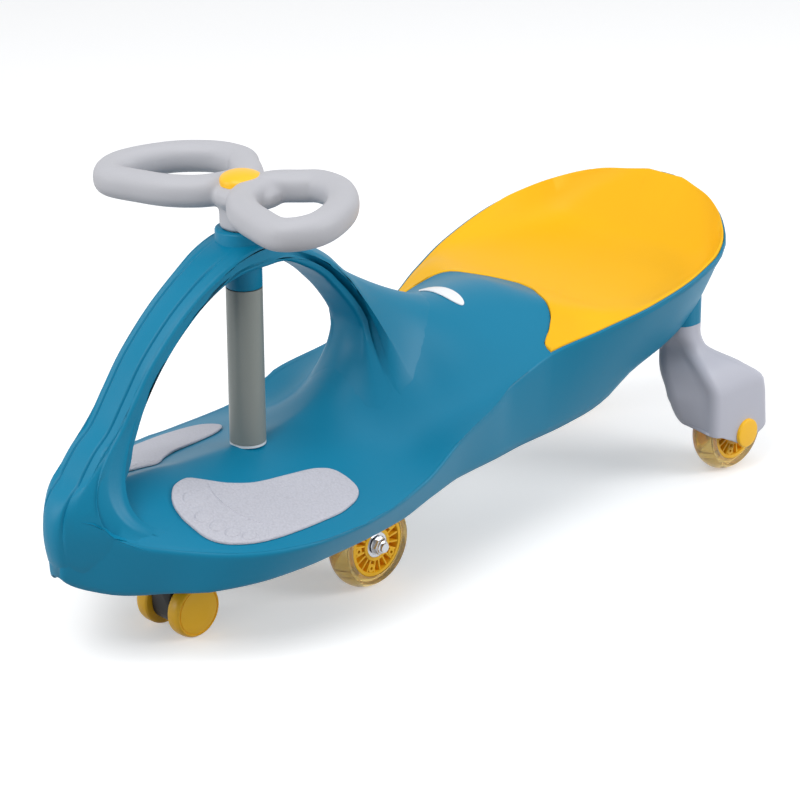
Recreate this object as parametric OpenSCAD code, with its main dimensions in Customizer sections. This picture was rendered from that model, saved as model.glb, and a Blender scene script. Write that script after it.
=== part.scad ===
// Wiggle car: a low ride-on toy that rolls forward when its steering wheel is swung from side to side.
// The origin lies on the floor under the middle of the car: +X to the nose, +Y to the rider's left, +Z up.

/* [Body] */
// Length from the nose to the back of the rear tyres
overall_len = 742; // [720:2:770]
// Length of the body from the nose to the back of the seat, as a share of the overall length
body_len_share = 0.98787; // [0.97:0.00001:1]
// Width of the body at the foot deck
body_w = 266; // [250:2:300]
// Height of the seat's back edge above the floor
body_h = 256; // [240:1:280]
// Thickness of the body's side walls
wall = 4; // [3:0.5:5]
// Thickness of the body's top skin
roof_t = 8; // [7:0.5:10]

/* [Arch] */
// Height of the arch head above the floor
arch_top = 320; // [305:1:340]
// Width of the arch's front leg
arch_w = 42; // [36:1:50]
// Thickness of the arch's front leg
arch_t = 16; // [13:1:20]
// Diameter of the ring boss on the arch head
head_boss_d = 45; // [40:1:50]
// Height of the ring boss above the arch head
head_boss_h = 6; // [4:0.5:9]
// Drop of the collar under the arch head, from the head's top
collar_drop = 44; // [40:1:50]

/* [Seat] */
// Thickness of the seat liner
seat_t = 3; // [2:0.5:4]
// Width of the body's lip round the seat
lip_w = 4; // [3:0.5:8]
// Length of the body's tongue that reaches into the seat
tongue_len = 50; // [40:1:56]
// Place of the seat's front corners from nose to tail, as a share of the body's length
seat_front_share = 0.622; // [0.6:0.001:0.63]

/* [Foot pads] */
// Length of a foot pad, as a share of the body's length
pad_len_share = 0.20873; // [0.19:0.001:0.225]
// Thickness of a foot pad
pad_t = 2.5; // [2:0.1:3.5]
// Place of a foot pad's toe from nose to tail, as a share of the body's length
pad_front_share = 0.11733; // [0.11:0.001:0.13]

/* [Badge] */
// Length of the plain oval plate, across the car
badge_len = 47; // [36:1:54]
// Width of the plain oval plate, along the car
badge_w = 21; // [14:1:26]
// Thickness of the plain oval plate
badge_t = 1.6; // [1.2:0.1:2.4]
// Place of the plate's middle from nose to tail, as a share of the body's length
badge_share = 0.58936; // [0.58:0.001:0.6]

/* [Steering] */
// Place of the steering column from nose to tail, as a share of the body's length
column_share = 0.27967; // [0.27:0.001:0.29]
// Diameter of the steel steering shaft
shaft_d = 19; // [17:0.5:20]
// Bore of the steering shaft
shaft_bore = 14; // [10:0.5:15]
// Outer diameter of the sleeve round the column
sleeve_d = 30; // [28:0.5:34]
// Outer diameter of the two column bushes
bush_d = 24; // [22.5:0.5:25]
// Length of the lower bush below its flange
lower_bush_len = 14; // [12:0.5:18]
// Width of the steering wheel
wheel_span = 258; // [240:2:264]
// Width of the steering wheel's rim
rim_w = 26; // [23:0.5:28]
// Height of the steering wheel's rim
rim_h = 26; // [22:0.5:28]
// Height of the steering wheel's underside above the arch head
rim_lift = 23; // [20:0.5:27]
// Diameter of the steering wheel's neck
neck_d = 37; // [34:0.5:40]
// Diameter of the steering wheel's cap
cap_d = 36; // [30:0.5:40]
// Height of the cap's dome
cap_h = 9; // [6:0.5:12]

/* [Front truck] */
// Distance from the column back to the front axle
truck_trail = 86; // [80:1:92]
// Distance from the column forward to the caster's swivel
caster_lead = 93; // [86:1:100]
// Thickness of the truck's arms
arm_t = 13; // [10:0.5:15]
// Height of the underside of the truck's arms above the floor
arm_z = 61; // [57:0.5:63]
// Diameter of the truck's boss round the steering shaft
truck_boss_d = 42; // [36:1:48]
// Diameter of the beam that holds the front axle
beam_d = 25; // [20:1:28]

/* [Wheels] */
// Diameter of the four road wheels
wheel_d = 80; // [76:1:82]
// Width of the four road wheels
wheel_w = 24; // [22:1:26]
// Diameter of the wheel hub inside the tyre
hub_d = 56; // [50:1:60]
// Thickness of the light ring between hub and tyre
ring_t = 3; // [2:0.5:4]
// Diameter of the axles
axle_d = 8; // [7:0.5:8]
// Outer diameter of the ball bearings
bearing_d = 22; // [20:0.5:24]
// Width of the ball bearings
bearing_w = 7; // [6:0.5:8]
// Distance between the middles of the two front wheels
front_track = 103; // [98:1:110]
// Distance between the middles of the two rear wheels, as a share of the body's width
rear_track_share = 0.78571; // [0.76:0.001:0.81]

/* [Caster] */
// Diameter of the two caster wheels
caster_d = 47; // [42:1:50]
// Width of one caster wheel
caster_w = 14; // [11:0.5:16]
// Thickness of the caster housing between its wheels
caster_gap = 24; // [20:0.5:28]
// Distance from the caster's swivel back to its axle
caster_trail = 12; // [8:0.5:16]
// Diameter of the caster's swivel stem
stem_d = 10; // [8:0.5:12]
// Diameter of the caster's axle
caster_axle_d = 6; // [5:0.5:7]

/* [Rear legs] */
// Thickness of a leg's outer cheek
cheek_t = 10; // [8:0.5:11]
// Thickness of a leg's inner cheek
inner_cheek_t = 7; // [6:0.5:9]
// Height of the flat top of a leg above the floor, as a share of the seat's back edge
leg_top_share = 0.58594; // [0.57:0.001:0.6]
// Length of a leg's neck, along the car
neck_len = 34; // [31:1:38]
// Width of a leg's neck, across the car
neck_w = 37; // [34:1:41]
// Distance from a rear axle forward to the middle of a leg's neck
leg_rake = 46; // [42:1:50]
// Distance between the middles of the two legs' necks, as a share of the body's width
leg_spread_share = 0.61654; // [0.6:0.001:0.64]
// Diameter of the disc that caps a rear axle
axle_cap_d = 27; // [24:0.5:30]
// Thickness of the disc that caps a rear axle
axle_cap_t = 3.5; // [2.5:0.5:5]

/* [Underbody] */
// Thickness of the underbody cover
cover_t = 3; // [2.5:0.5:4]
// Diameter of the screws' shanks
screw_d = 4; // [3.5:0.5:5]

/* [Hidden] */
$fn = 64;

// Clearances: a running fit, a fixed fit, a gap beside a moving face, and an overrun for cuts
run_fit = 0.05;
fixed_gap = 0.1;
skin_gap = 0.3;
side_gap = 0.4;
overrun = 2;

// Colours
body_colour = "#0a7fa2";
yellow = "#f7c32e";
grey = "#c6c6cc";
dark_grey = "#8f948f";
black = "#1d1e20";
steel = "#b9bcc0";
amber = "#d8b04a";
white = "#e9ecee";

// Main places
half_w = body_w / 2;
body_len = overall_len * body_len_share;
nose_x = overall_len / 2;
column_setback = body_len * column_share;
column_x = nose_x - column_setback;
wheel_r = wheel_d / 2;
rear_axle_x = wheel_r - overall_len / 2;
front_axle_x = column_x - truck_trail;
swivel_x = column_x + caster_lead;
caster_axle_x = swivel_x - caster_trail;
front_y = front_track / 2;
rear_y = body_w * rear_track_share / 2;

// The body's lines: place along the body from nose to tail, then the line's share of its own size
plan_shares = [
    [0, 0.06], [0.002, 0.075], [0.0055, 0.102], [0.011, 0.138], [0.0205, 0.192], [0.041, 0.305],
    [0.0614, 0.418], [0.082, 0.53], [0.0952, 0.604], [0.137, 0.81], [0.184, 0.935], [0.232, 0.99],
    [0.279, 1], [0.334, 0.972], [0.394, 0.917], [0.47, 0.853], [0.533, 0.786], [0.574, 0.732],
    [0.622, 0.735], [0.701, 0.866], [0.775, 0.972], [0.833, 1], [0.879, 0.975], [0.914, 0.9],
    [0.952, 0.705], [0.978, 0.46], [0.993, 0.23], [1, 0.06]
];
crease_shares = [
    [0, 0.535], [0.004, 0.545], [0.012, 0.562], [0.028, 0.527], [0.042, 0.475], [0.067, 0.443],
    [0.128, 0.422], [0.172, 0.416], [0.232, 0.414], [0.304, 0.419], [0.394, 0.45], [0.47, 0.54],
    [0.533, 0.583], [0.574, 0.622], [0.622, 0.664], [0.701, 0.727], [0.775, 0.78], [0.833, 0.823],
    [0.879, 0.862], [0.914, 0.895], [0.952, 0.943], [0.978, 0.978], [0.993, 0.992], [1, 1]
];
ridge_shares = [
    [0, 0.535], [0.006, 0.56], [0.02, 0.586], [0.04, 0.586], [0.09, 0.582], [0.141, 0.574],
    [0.191, 0.557], [0.279, 0.553], [0.323, 0.562], [0.36, 0.586], [0.387, 0.625], [0.414, 0.695],
    [0.434, 0.77], [0.454, 0.832], [0.484, 0.882], [0.51, 0.878], [0.54, 0.86], [0.57, 0.842],
    [0.6, 0.832], [0.638, 0.828], [0.66, 0.824], [0.68, 0.81], [0.7, 0.785], [0.737, 0.764],
    [0.828, 0.756], [0.889, 0.76], [0.92, 0.78], [0.945, 0.828], [0.963, 0.882], [0.978, 0.938],
    [0.991, 0.982], [1, 1]
];
lower_plan_shares = [
    [0, 0.04], [0.002, 0.055], [0.0055, 0.075], [0.011, 0.1], [0.0205, 0.155], [0.041, 0.275],
    [0.0614, 0.38], [0.082, 0.484], [0.114, 0.69], [0.182, 0.855], [0.235, 0.895], [0.292, 0.89],
    [0.365, 0.853], [0.428, 0.815], [0.477, 0.767], [0.54, 0.737], [0.596, 0.695], [0.644, 0.68],
    [0.709, 0.665], [0.749, 0.66], [0.787, 0.7], [0.837, 0.735], [0.894, 0.69], [0.952, 0.53],
    [0.973, 0.41], [0.987, 0.27], [0.996, 0.14], [1, 0.05]
];
lower_shares = [
    [0, 0.42], [0.005, 0.365], [0.012, 0.315], [0.028, 0.285], [0.055, 0.277], [0.114, 0.294],
    [0.182, 0.311], [0.235, 0.32], [0.365, 0.33], [0.428, 0.36], [0.477, 0.371], [0.54, 0.373],
    [0.644, 0.373], [0.709, 0.383], [0.749, 0.406], [0.787, 0.484], [0.837, 0.545], [0.894, 0.594],
    [0.952, 0.66], [0.973, 0.75], [0.987, 0.86], [0.996, 0.945], [1, 0.975]
];
// How the top runs from ridge to crease: a tent on the deck, a bell on the hump, a bowl in the seat
hump_shares = [[0, 0], [0.32, 0], [0.45, 1], [0.66, 1], [0.72, 0], [1, 0]];
bowl_shares = [[0, 0], [0.66, 0], [0.72, 1], [1, 1]];
bell_power_shares = [
    [0, 1], [0.33, 1], [0.42, 2.4], [0.48, 2], [0.53, 1.15], [0.58, 0.75], [0.66, 0.6], [1, 0.6]
];
tent_power_share = 0.9;
tent_soft_share = 0.06;
bowl_power_share = 6;
bowl_rim_share = 0.94;
side_bulge_share = 0.06;
// Places of the body's sections, close together at both ends
section_shares = concat(
    [0, 0.003, 0.009, 0.018, 0.03, 0.044, 0.058, 0.073],
    [for (i = [0 : 20]) 0.09 + 0.03 * i],
    [for (i = [0 : 8]) 0.715 + 0.0265 * i],
    [0.95, 0.962, 0.973, 0.982, 0.989, 0.995, 1]
);
top_steps = 9;
side_steps = 3;
// The cavity under the body starts and ends a little inside its two ends
cavity_shares = [0.012, 0.985];

// The arch's sections: place from the column as a share of its span and height as a share of its own,
// then width and thickness as shares of the front leg's
arch_span_share = 1.561;
arch_shares = [
    [0.594, 0.4, 1.1, 2.3], [0.497, 0.532, 1.05, 2.2], [0.452, 0.6, 1, 1.4], [0.406, 0.678, 1, 1.06],
    [0.347, 0.76, 1, 1], [0.256, 0.85, 1.03, 0.95], [0.159, 0.918, 1.1, 0.95], [0.081, 0.953, 1.24, 1.1],
    [0, 0.965, 1.34, 1.3], [-0.082, 0.955, 1.29, 1.2], [-0.185, 0.922, 1.2, 1.15],
    [-0.25, 0.878, 1.15, 1.35], [-0.302, 0.822, 1.14, 1.7], [-0.358, 0.746, 1.16, 2.3],
    [-0.41, 0.665, 1.2, 3.1], [-0.455, 0.58, 1.3, 3.8]
];
arch_round_share = 0.4;
slice = 0.2;

// Seat front edge: distance from the middle as a share of the corner's, then the share of the tongue
seat_front_shares = [[0, 1], [0.35, 0.96], [0.56, 0.88], [0.74, 0.66], [0.84, 0.3], [0.9, 0.06], [1, 0]];
// Foot pad: share of its length from the toe, then its inner and outer edges as shares of the half width
pad_shares = [
    [0, 0.4, 0.44], [0.013, 0.32, 0.58], [0.06, 0.235, 0.68], [0.124, 0.18, 0.74], [0.222, 0.155, 0.795],
    [0.307, 0.205, 0.82], [0.4, 0.29, 0.835], [0.54, 0.365, 0.845], [0.73, 0.4, 0.845],
    [0.876, 0.43, 0.812], [0.96, 0.48, 0.76], [0.993, 0.54, 0.7], [1, 0.6, 0.64]
];

// Column heights
deck_z = body_h * ridge(column_share);
flange_t = 2;
flange_seat = deck_z - flange_t / 2;
collar_z = arch_top - collar_drop;
head_z = arch_top + head_boss_h;
lower_bush_z = flange_seat - lower_bush_len;
washer_t = 2;
truck_top = lower_bush_z - side_gap - washer_t;
rim_z = arch_top + rim_lift;
rim_top = rim_z + rim_h;
shaft_z = arm_z + arm_t;
hub_dip = 5;
hub_top = rim_top - hub_dip;
hub_plug = 9;
shaft_top = hub_top - hub_plug;
bolt_d = 8;
shaft_plug = 22;
wheel_bolt_reach = 11;
truck_bolt_reach = 14;
washer_d = 17;
bolt_head_d = 13;
bolt_head_h = 5;
collar_wall = 3;
boss_sink = 14;

// Rear leg places across the car
well_gap = 1;
cheek_y = rear_y + wheel_w / 2 + well_gap;
outer_y = cheek_y + cheek_t;
inner_y = rear_y - wheel_w / 2 - well_gap;
leg_x = rear_axle_x + leg_rake;
leg_y = body_w * leg_spread_share / 2;
leg_top = body_h * leg_top_share;

// Basic curve: a smooth line through the rows of a table that never overshoots them
function row(t, k, i = 0) = (i >= len(t) - 2 || k < t[i + 1][0]) ? i : row(t, k, i + 1);
function rise(t, i, c) = (t[i + 1][c] - t[i][c]) / (t[i + 1][0] - t[i][0]);
function joint_slope(a, b) = a * b <= 0 ? 0 : 2 * a * b / (a + b);
function slope(t, i, c) =
    i == 0 ? rise(t, 0, c)
    : i == len(t) - 1 ? rise(t, i - 1, c)
    : joint_slope(rise(t, i - 1, c), rise(t, i, c));
function curve(t, k, c = 1) =
    let (
        i = row(t, k),
        h = t[i + 1][0] - t[i][0],
        s = min(1, max(0, (k - t[i][0]) / h)),
        a = slope(t, i, c) * h,
        b = slope(t, i + 1, c) * h,
        d = t[i + 1][c] - t[i][c]
    )
    t[i][c] + a * s + (3 * d - 2 * a - b) * s * s + (a + b - 2 * d) * s * s * s;

// A smooth step from p1 to p2 that heads along its neighbours
function smooth_step(p0, p1, p2, p3, s) =
    p1 + (p2 - p0) * s / 2 + (2 * p0 - 5 * p1 + 4 * p2 - p3) * s * s / 2
    + (3 * p1 - p0 - 3 * p2 + p3) * s * s * s / 2;

// The body's lines at a share u of its length
function ridge(u) = curve(ridge_shares, u);
function body_x(u) = nose_x - body_len * u;
function body_u(x) = min(1, max(0, (nose_x - x) / body_len));
function crease_y(u) = half_w * curve(plan_shares, u);
function crease_z(u) = body_h * curve(crease_shares, u);
function lower_y(u) = half_w * curve(lower_plan_shares, u);
function lower_z(u) = body_h * curve(lower_shares, u);
function soft(s) =
    (sqrt(s * s + tent_soft_share * tent_soft_share) - tent_soft_share)
    / (sqrt(1 + tent_soft_share * tent_soft_share) - tent_soft_share);
function top_share(u, s) =
    let (hump = curve(hump_shares, u), bowl = curve(bowl_shares, u))
    (1 - hump - bowl) * (1 - pow(soft(s), tent_power_share))
    + hump * pow((1 + cos(180 * s)) / 2, curve(bell_power_shares, u))
    + bowl * (1 - pow(min(1, s / bowl_rim_share), bowl_power_share));
function top_z(u, s) = crease_z(u) + (body_h * ridge(u) - crease_z(u)) * top_share(u, s);
function skin_z(x, y) = let (u = body_u(x)) top_z(u, min(1, abs(y) / crease_y(u)));

// One half of a body section from the lower edge over the crease to the ridge, drawn in by inset and drop
function lean(u, drop) = (crease_y(u) - lower_y(u)) * drop / (crease_z(u) - lower_z(u));
function half_section(u, inset, drop, below) =
    let (
        wide = max(crease_y(u) - inset - lean(u, drop), lip_w / 2),
        low_wide = max(lower_y(u) - inset, lip_w / 2),
        low = lower_z(u),
        high = crease_z(u) - drop
    )
    concat(
        below > 0 ? [[low_wide, low - below]] : [],
        [for (i = [0 : side_steps - 1])
            let (s = i / side_steps, bulge = side_bulge_share * (high - low) * s * (1 - s))
            [low_wide + (wide - low_wide) * s + bulge, low + (high - low) * s]],
        [for (i = [0 : top_steps])
            let (s = 1 - i / top_steps)
            [wide * s, top_z(u, s) - drop]]
    );
function whole_section(u, inset, drop, below) =
    let (half = half_section(u, inset, drop, below), n = len(half))
    concat(
        [for (p = half) [body_x(u), p[0], p[1]]],
        [for (i = [n - 2 : -1 : 0]) [body_x(u), -half[i][0], half[i][1]]]
    );

// A closed solid through rings of equal count
module loft(rings) {
    n = len(rings[0]);
    m = len(rings);
    polyhedron(
        points = [for (r = rings) each r],
        faces = concat(
            [[for (j = [n - 1 : -1 : 0]) j]],
            [for (i = [0 : m - 2]) for (j = [0 : n - 1])
                let (a = i * n + j, b = i * n + (j + 1) % n)
                each [[a, b, a + n], [b, b + n, a + n]]],
            [[for (j = [0 : n - 1]) (m - 1) * n + j]]
        )
    );
}

// A closed slab over a grid of plan points that follows the body's skin between two heights above it
module skin_slab(grid, low, high) {
    n = len(grid[0]);
    m = len(grid);
    count = n * m;
    polyhedron(
        points = concat(
            [for (r = grid) for (p = r) [p[0], p[1], skin_z(p[0], p[1]) + low]],
            [for (r = grid) for (p = r) [p[0], p[1], skin_z(p[0], p[1]) + high]]
        ),
        faces = concat(
            [for (i = [0 : m - 2]) for (j = [0 : n - 2])
                let (a = i * n + j)
                each [[a, a + n, a + 1], [a + 1, a + n, a + n + 1]]],
            [for (i = [0 : m - 2]) for (j = [0 : n - 2])
                let (a = count + i * n + j)
                each [[a, a + 1, a + n], [a + 1, a + n + 1, a + n]]],
            [for (i = [0 : m - 2]) for (j = [0, n - 1])
                let (a = i * n + j, b = a + n, ring = [a, b, b + count, a + count])
                each (j == 0
                    ? [[ring[0], ring[2], ring[1]], [ring[0], ring[3], ring[2]]]
                    : [[ring[0], ring[1], ring[2]], [ring[0], ring[2], ring[3]]])],
            [for (j = [0 : n - 2]) for (i = [0, m - 1])
                let (a = i * n + j, b = a + 1, ring = [a, b, b + count, a + count])
                each (i == 0
                    ? [[ring[0], ring[1], ring[2]], [ring[0], ring[2], ring[3]]]
                    : [[ring[0], ring[2], ring[1]], [ring[0], ring[3], ring[2]]])]
        )
    );
}

// Seat outline: the body's plan drawn in by its lip, with the tongue cut out of its front
widest_share = 0.833;
side_rows = 40;
seat_clear = 64;
function side_list(from, to, inset) =
    [for (i = [0 : side_rows])
        let (u = from + (to - from) * i / side_rows)
        [crease_y(u) - inset, body_x(u)]];
function seat_grid(inset, tongue_gap) =
    let (
        front = side_list(seat_front_share, widest_share, inset),
        rear = side_list(1, widest_share, inset),
        corner = front[0][0],
        widest = front[side_rows][0] - slice,
        cols = 14,
        rows = 13
    )
    [for (i = [cols : -1 : -cols])
        let (
            y = widest * sin(90 * i / cols),
            d = abs(y),
            x_front = d < corner
                ? front[0][1] - tongue_len * curve(seat_front_shares, d / corner) + tongue_gap
                : lookup(d, front) + tongue_gap,
            x_rear = max(lookup(d, rear), body_x(1) + inset)
        )
        [for (j = [0 : rows]) [x_rear + (x_front - x_rear) * j / rows, y]]];

// Foot pad outline on the left of the car
function pad_grid() =
    let (cols = 20, rows = 8)
    [for (i = [0 : cols])
        let (
            t = (1 - cos(180 * i / cols)) / 2,
            near = half_w * curve(pad_shares, t, 1),
            far = half_w * curve(pad_shares, t, 2)
        )
        [for (j = [0 : rows]) [body_x(pad_front_share + pad_len_share * t), far + (near - far) * j / rows]]];

// Oval plate outline
badge_end_share = 0.3;
function badge_grid() =
    let (cols = 14, rows = 6)
    [for (i = [0 : cols])
        let (a = 180 * (i + badge_end_share) / (cols + 2 * badge_end_share))
        [for (j = [0 : rows])
            [body_x(badge_share) + badge_w / 2 * sin(a) * (2 * j / rows - 1), badge_len / 2 * cos(a)]]];

// A cylinder along Y from one place to another
module rod_y(d, from, to) {
    translate([0, from, 0])
        rotate([-90, 0, 0])
            cylinder(d = d, h = to - from);
}

// A hexagon nut along Y
module nut_y(across, from, to) {
    translate([0, from, 0])
        rotate([-90, 0, 0])
            cylinder(d = across / cos(30), h = to - from, $fn = 6);
}

module mirrored(side) {
    if (side < 0)
        mirror([0, 1, 0])
            children();
    else
        children();
}

// Body shell: deck, hump, tail and steering arch in one hollow moulding
arch_steps = 2;
corner_steps = 3;
arch_span = column_setback * arch_span_share;
function arch_row(k) =
    let (last = len(arch_shares) - 1, i = min(floor(k / arch_steps), last - 1), s = k / arch_steps - i)
    smooth_step(
        arch_shares[max(0, i - 1)], arch_shares[i], arch_shares[i + 1], arch_shares[min(last, i + 2)], s
    );
function arch_ring(k) =
    let (
        r = arch_row(k),
        ahead = arch_row(min(k + 0.5, (len(arch_shares) - 1) * arch_steps)),
        behind = arch_row(max(k - 0.5, 0)),
        run = [arch_span * (ahead[0] - behind[0]), arch_top * (ahead[1] - behind[1])],
        across = [-run[1], run[0]] / norm(run),
        wide = arch_w * r[2] / 2,
        thick = arch_t * r[3] / 2,
        corner = 2 * min(wide, thick) * arch_round_share
    )
    [for (q = [0 : 3]) for (e = [0 : corner_steps])
        let (
            a = 90 * (q + e / corner_steps),
            out = sign(cos(90 * q + 45)) * (thick - corner) + corner * cos(a),
            y = sign(sin(90 * q + 45)) * (wide - corner) + corner * sin(a)
        )
        [column_x + arch_span * r[0] + across[0] * out, y, arch_top * r[1] + across[1] * out]];

module arch() {
    loft([for (k = [0 : (len(arch_shares) - 1) * arch_steps]) arch_ring(k)]);
    translate([column_x, 0, collar_z])
        cylinder(d = bush_d + 2 * collar_wall, h = collar_drop, $fn = 40);
    translate([column_x, 0, arch_top - boss_sink])
        cylinder(d = head_boss_d, h = boss_sink + head_boss_h, $fn = 48);
}

// Stiffening ribs under the deck that run out from the lower bush
rib_angles = [30, 62, 118, 150];
rib_d = 4;
rib_in = 26;
rib_out = 92;
rib_depth = 9;
module rib_end(angle, reach) {
    x = column_x + reach * cos(angle);
    y = reach * sin(angle);
    translate([x, y, skin_z(x, y) - roof_t - rib_depth / 2])
        cylinder(d = rib_d, h = rib_depth, $fn = 12);
}

module deck_ribs() {
    for (side = [-1, 1]) for (angle = rib_angles)
        hull() {
            rib_end(side * angle, rib_in);
            rib_end(side * angle, rib_out);
        }
}

post_x_shares = [0.545, 0.632];
post_y_share = 0.5;
post_d = 10;
post_sink_share = 0.6;
function post_top(u) = skin_z(body_x(u), half_w * post_y_share) - roof_t * post_sink_share;
module at_post_pair(u) {
    for (s = [-1, 1])
        translate([body_x(u), s * half_w * post_y_share, 0])
            children();
}

module at_posts() {
    for (u = post_x_shares)
        at_post_pair(u)
            children();
}

module body_shell() {
    color(body_colour)
        difference() {
            union() {
                difference() {
                    union() {
                        loft([for (u = section_shares) whole_section(u, 0, 0, 0)]);
                        arch();
                    }
                    loft([
                        for (u = concat(
                            [cavity_shares[0]],
                            [for (u = section_shares) if (u > cavity_shares[0] && u < cavity_shares[1]) u],
                            [cavity_shares[1]]
                        ))
                            whole_section(u, wall, roof_t, body_h)
                    ]);
                }
                translate([column_x, 0, lower_bush_z])
                    cylinder(d = bush_d + 2 * collar_wall, h = deck_z - lower_bush_z - flange_t, $fn = 40);
                deck_ribs();
                for (u = post_x_shares)
                    at_post_pair(u)
                        translate([0, 0, cover_top])
                            cylinder(d = post_d, h = post_top(u) - cover_top, $fn = 16);
            }
            skin_slab(seat_grid(lip_w - skin_gap, 2 * skin_gap), -seat_t - 2 * skin_gap, seat_clear);
            translate([column_x, 0, 0])
                cylinder(d = bush_d + 2 * skin_gap, h = head_z + overrun, $fn = 48);
            translate([column_x, 0, flange_seat])
                cylinder(d = sleeve_d + 2 * side_gap, h = flange_t + overrun, $fn = 48);
            translate([column_x, 0, head_z - flange_t])
                cylinder(d = sleeve_d + 2 * side_gap, h = flange_t + overrun, $fn = 48);
            for (s = [-1, 1])
                translate([leg_x, s * leg_y, 0])
                    linear_extrude(leg_top + socket_h + skin_gap)
                        leg_outline(2 * skin_gap);
            at_posts()
                cylinder(d = screw_d + 2 * fixed_gap, h = cover_top + screw_len, $fn = 16);
        }
}

// Underbody cover: a plate inside the skirt, with a socket for each rear leg
cover_front_share = 0.5;
cover_rear_share = 0.955;
cover_steps = 26;
cover_rise = 1;
cover_bottom = body_h * curve(lower_shares, post_x_shares[0]) + cover_rise;
cover_top = cover_bottom + cover_t;
function cover_u(i) = cover_front_share + (cover_rear_share - cover_front_share) * i / cover_steps;
function cover_z(u) = max(cover_bottom, lower_z(u) + cover_rise);
function cover_y(u) = lower_y(u) - wall - side_gap;
neck_round_share = 0.42;

module leg_outline(grow) {
    corner = neck_len * neck_round_share;
    hull()
        for (sx = [-1, 1]) for (sy = [-1, 1])
            translate([sx * (neck_len / 2 - corner), sy * (neck_w / 2 - corner)])
                circle(corner + grow, $fn = 32);
}

module underbody_cover() {
    color(body_colour)
        difference() {
            union() {
                intersection() {
                    translate([0, half_w, 0])
                        rotate([90, 0, 0])
                            linear_extrude(body_w)
                                polygon(concat(
                                    [for (i = [0 : cover_steps]) [body_x(cover_u(i)), cover_z(cover_u(i))]],
                                    [for (i = [cover_steps : -1 : 0])
                                        [body_x(cover_u(i)), cover_z(cover_u(i)) + cover_t]]
                                ));
                    linear_extrude(body_h)
                        polygon(concat(
                            [for (i = [0 : cover_steps]) [body_x(cover_u(i)), cover_y(cover_u(i))]],
                            [for (i = [cover_steps : -1 : 0]) [body_x(cover_u(i)), -cover_y(cover_u(i))]]
                        ));
                }
                for (s = [-1, 1])
                    translate([leg_x, s * leg_y, leg_top])
                        linear_extrude(socket_h)
                            leg_outline(0);
            }
            for (s = [-1, 1])
                translate([leg_x, s * leg_y, 0])
                    linear_extrude(leg_top)
                        leg_outline(2 * skin_gap);
            at_posts()
                translate([0, 0, cover_bottom])
                    screw_form(fixed_gap);
            at_leg_bolts()
                translate([0, 0, leg_top - overrun])
                    cylinder(d = screw_d + 2 * fixed_gap, h = socket_h + 2 * overrun);
        }
}

// Socket block on the cover over each leg, and the bolts through it
socket_h = 26;
bolt_pitch_share = 0.5;
leg_bolt_depth = 16;
leg_bolt_head_d = 9;
leg_bolt_head_h = 3.5;
module at_leg_bolts() {
    for (s = [-1, 1]) for (e = [-1, 1])
        translate([leg_x + e * neck_len * bolt_pitch_share / 2, s * leg_y, 0])
            children();
}

module leg_bolts() {
    color(steel)
        at_leg_bolts() {
            translate([0, 0, leg_top - leg_bolt_depth])
                cylinder(d = screw_d, h = leg_bolt_depth + socket_h);
            translate([0, 0, leg_top + socket_h])
                cylinder(d = leg_bolt_head_d, h = leg_bolt_head_h);
        }
}

// Cover screws, with heads sunk flush into the cover
screw_len = 14;
screw_head_d = 8;
screw_head_share = 0.75;
screw_head_h = cover_t * screw_head_share;
module screw_form(gap) {
    rotate_extrude()
        polygon([
            [0, 0], [screw_head_d / 2 + gap, 0], [screw_d / 2 + gap, screw_head_h],
            [screw_d / 2 + gap, screw_len], [0, screw_len]
        ]);
}

module cover_screws() {
    color(steel)
        at_posts()
            translate([0, 0, cover_bottom])
                screw_form(0);
}

module seat_liner() {
    color(yellow)
        skin_slab(seat_grid(lip_w, 0), -seat_t, 0);
}

module left_foot_pad() {
    color(grey)
        skin_slab(pad_grid(), skin_gap, pad_t + skin_gap);
}

module right_foot_pad() {
    mirror([0, 1, 0])
        left_foot_pad();
}

module badge_plate() {
    color(white)
        skin_slab(badge_grid(), skin_gap, badge_t + skin_gap);
}

// Column bushes
module upper_bush() {
    color(white)
        translate([column_x, 0, 0])
            difference() {
                union() {
                    translate([0, 0, collar_z])
                        cylinder(d = bush_d, h = head_z - collar_z);
                    translate([0, 0, head_z - flange_t])
                        cylinder(d = sleeve_d, h = flange_t);
                }
                cylinder(d = shaft_d + 2 * run_fit, h = head_z + overrun);
            }
}

module lower_bush() {
    color(white)
        translate([column_x, 0, 0])
            difference() {
                union() {
                    translate([0, 0, lower_bush_z])
                        cylinder(d = bush_d, h = lower_bush_len);
                    translate([0, 0, flange_seat])
                        cylinder(d = sleeve_d, h = flange_t);
                }
                cylinder(d = shaft_d + 2 * run_fit, h = deck_z + overrun);
            }
}

// Rear leg: a neck under the seat that swells into a housing over the wheel
cheek_r = 13;
leg_corner = 9;
well_r = wheel_r + 3;
// Heights of the leg's flats as shares of its top's, then how far each one reaches ahead of the axle,
// at its inner and outer corner, and behind the axle, as shares of the wheel's radius
leg_shares = [
    [0.86, 1.42, 1.3, -0.74], [0.69, 1.67, 1.3, 0.2], [0.57, 1.65, 1.14, 0.78], [0.35, 1.23, 1.14, 0.94]
];
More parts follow.
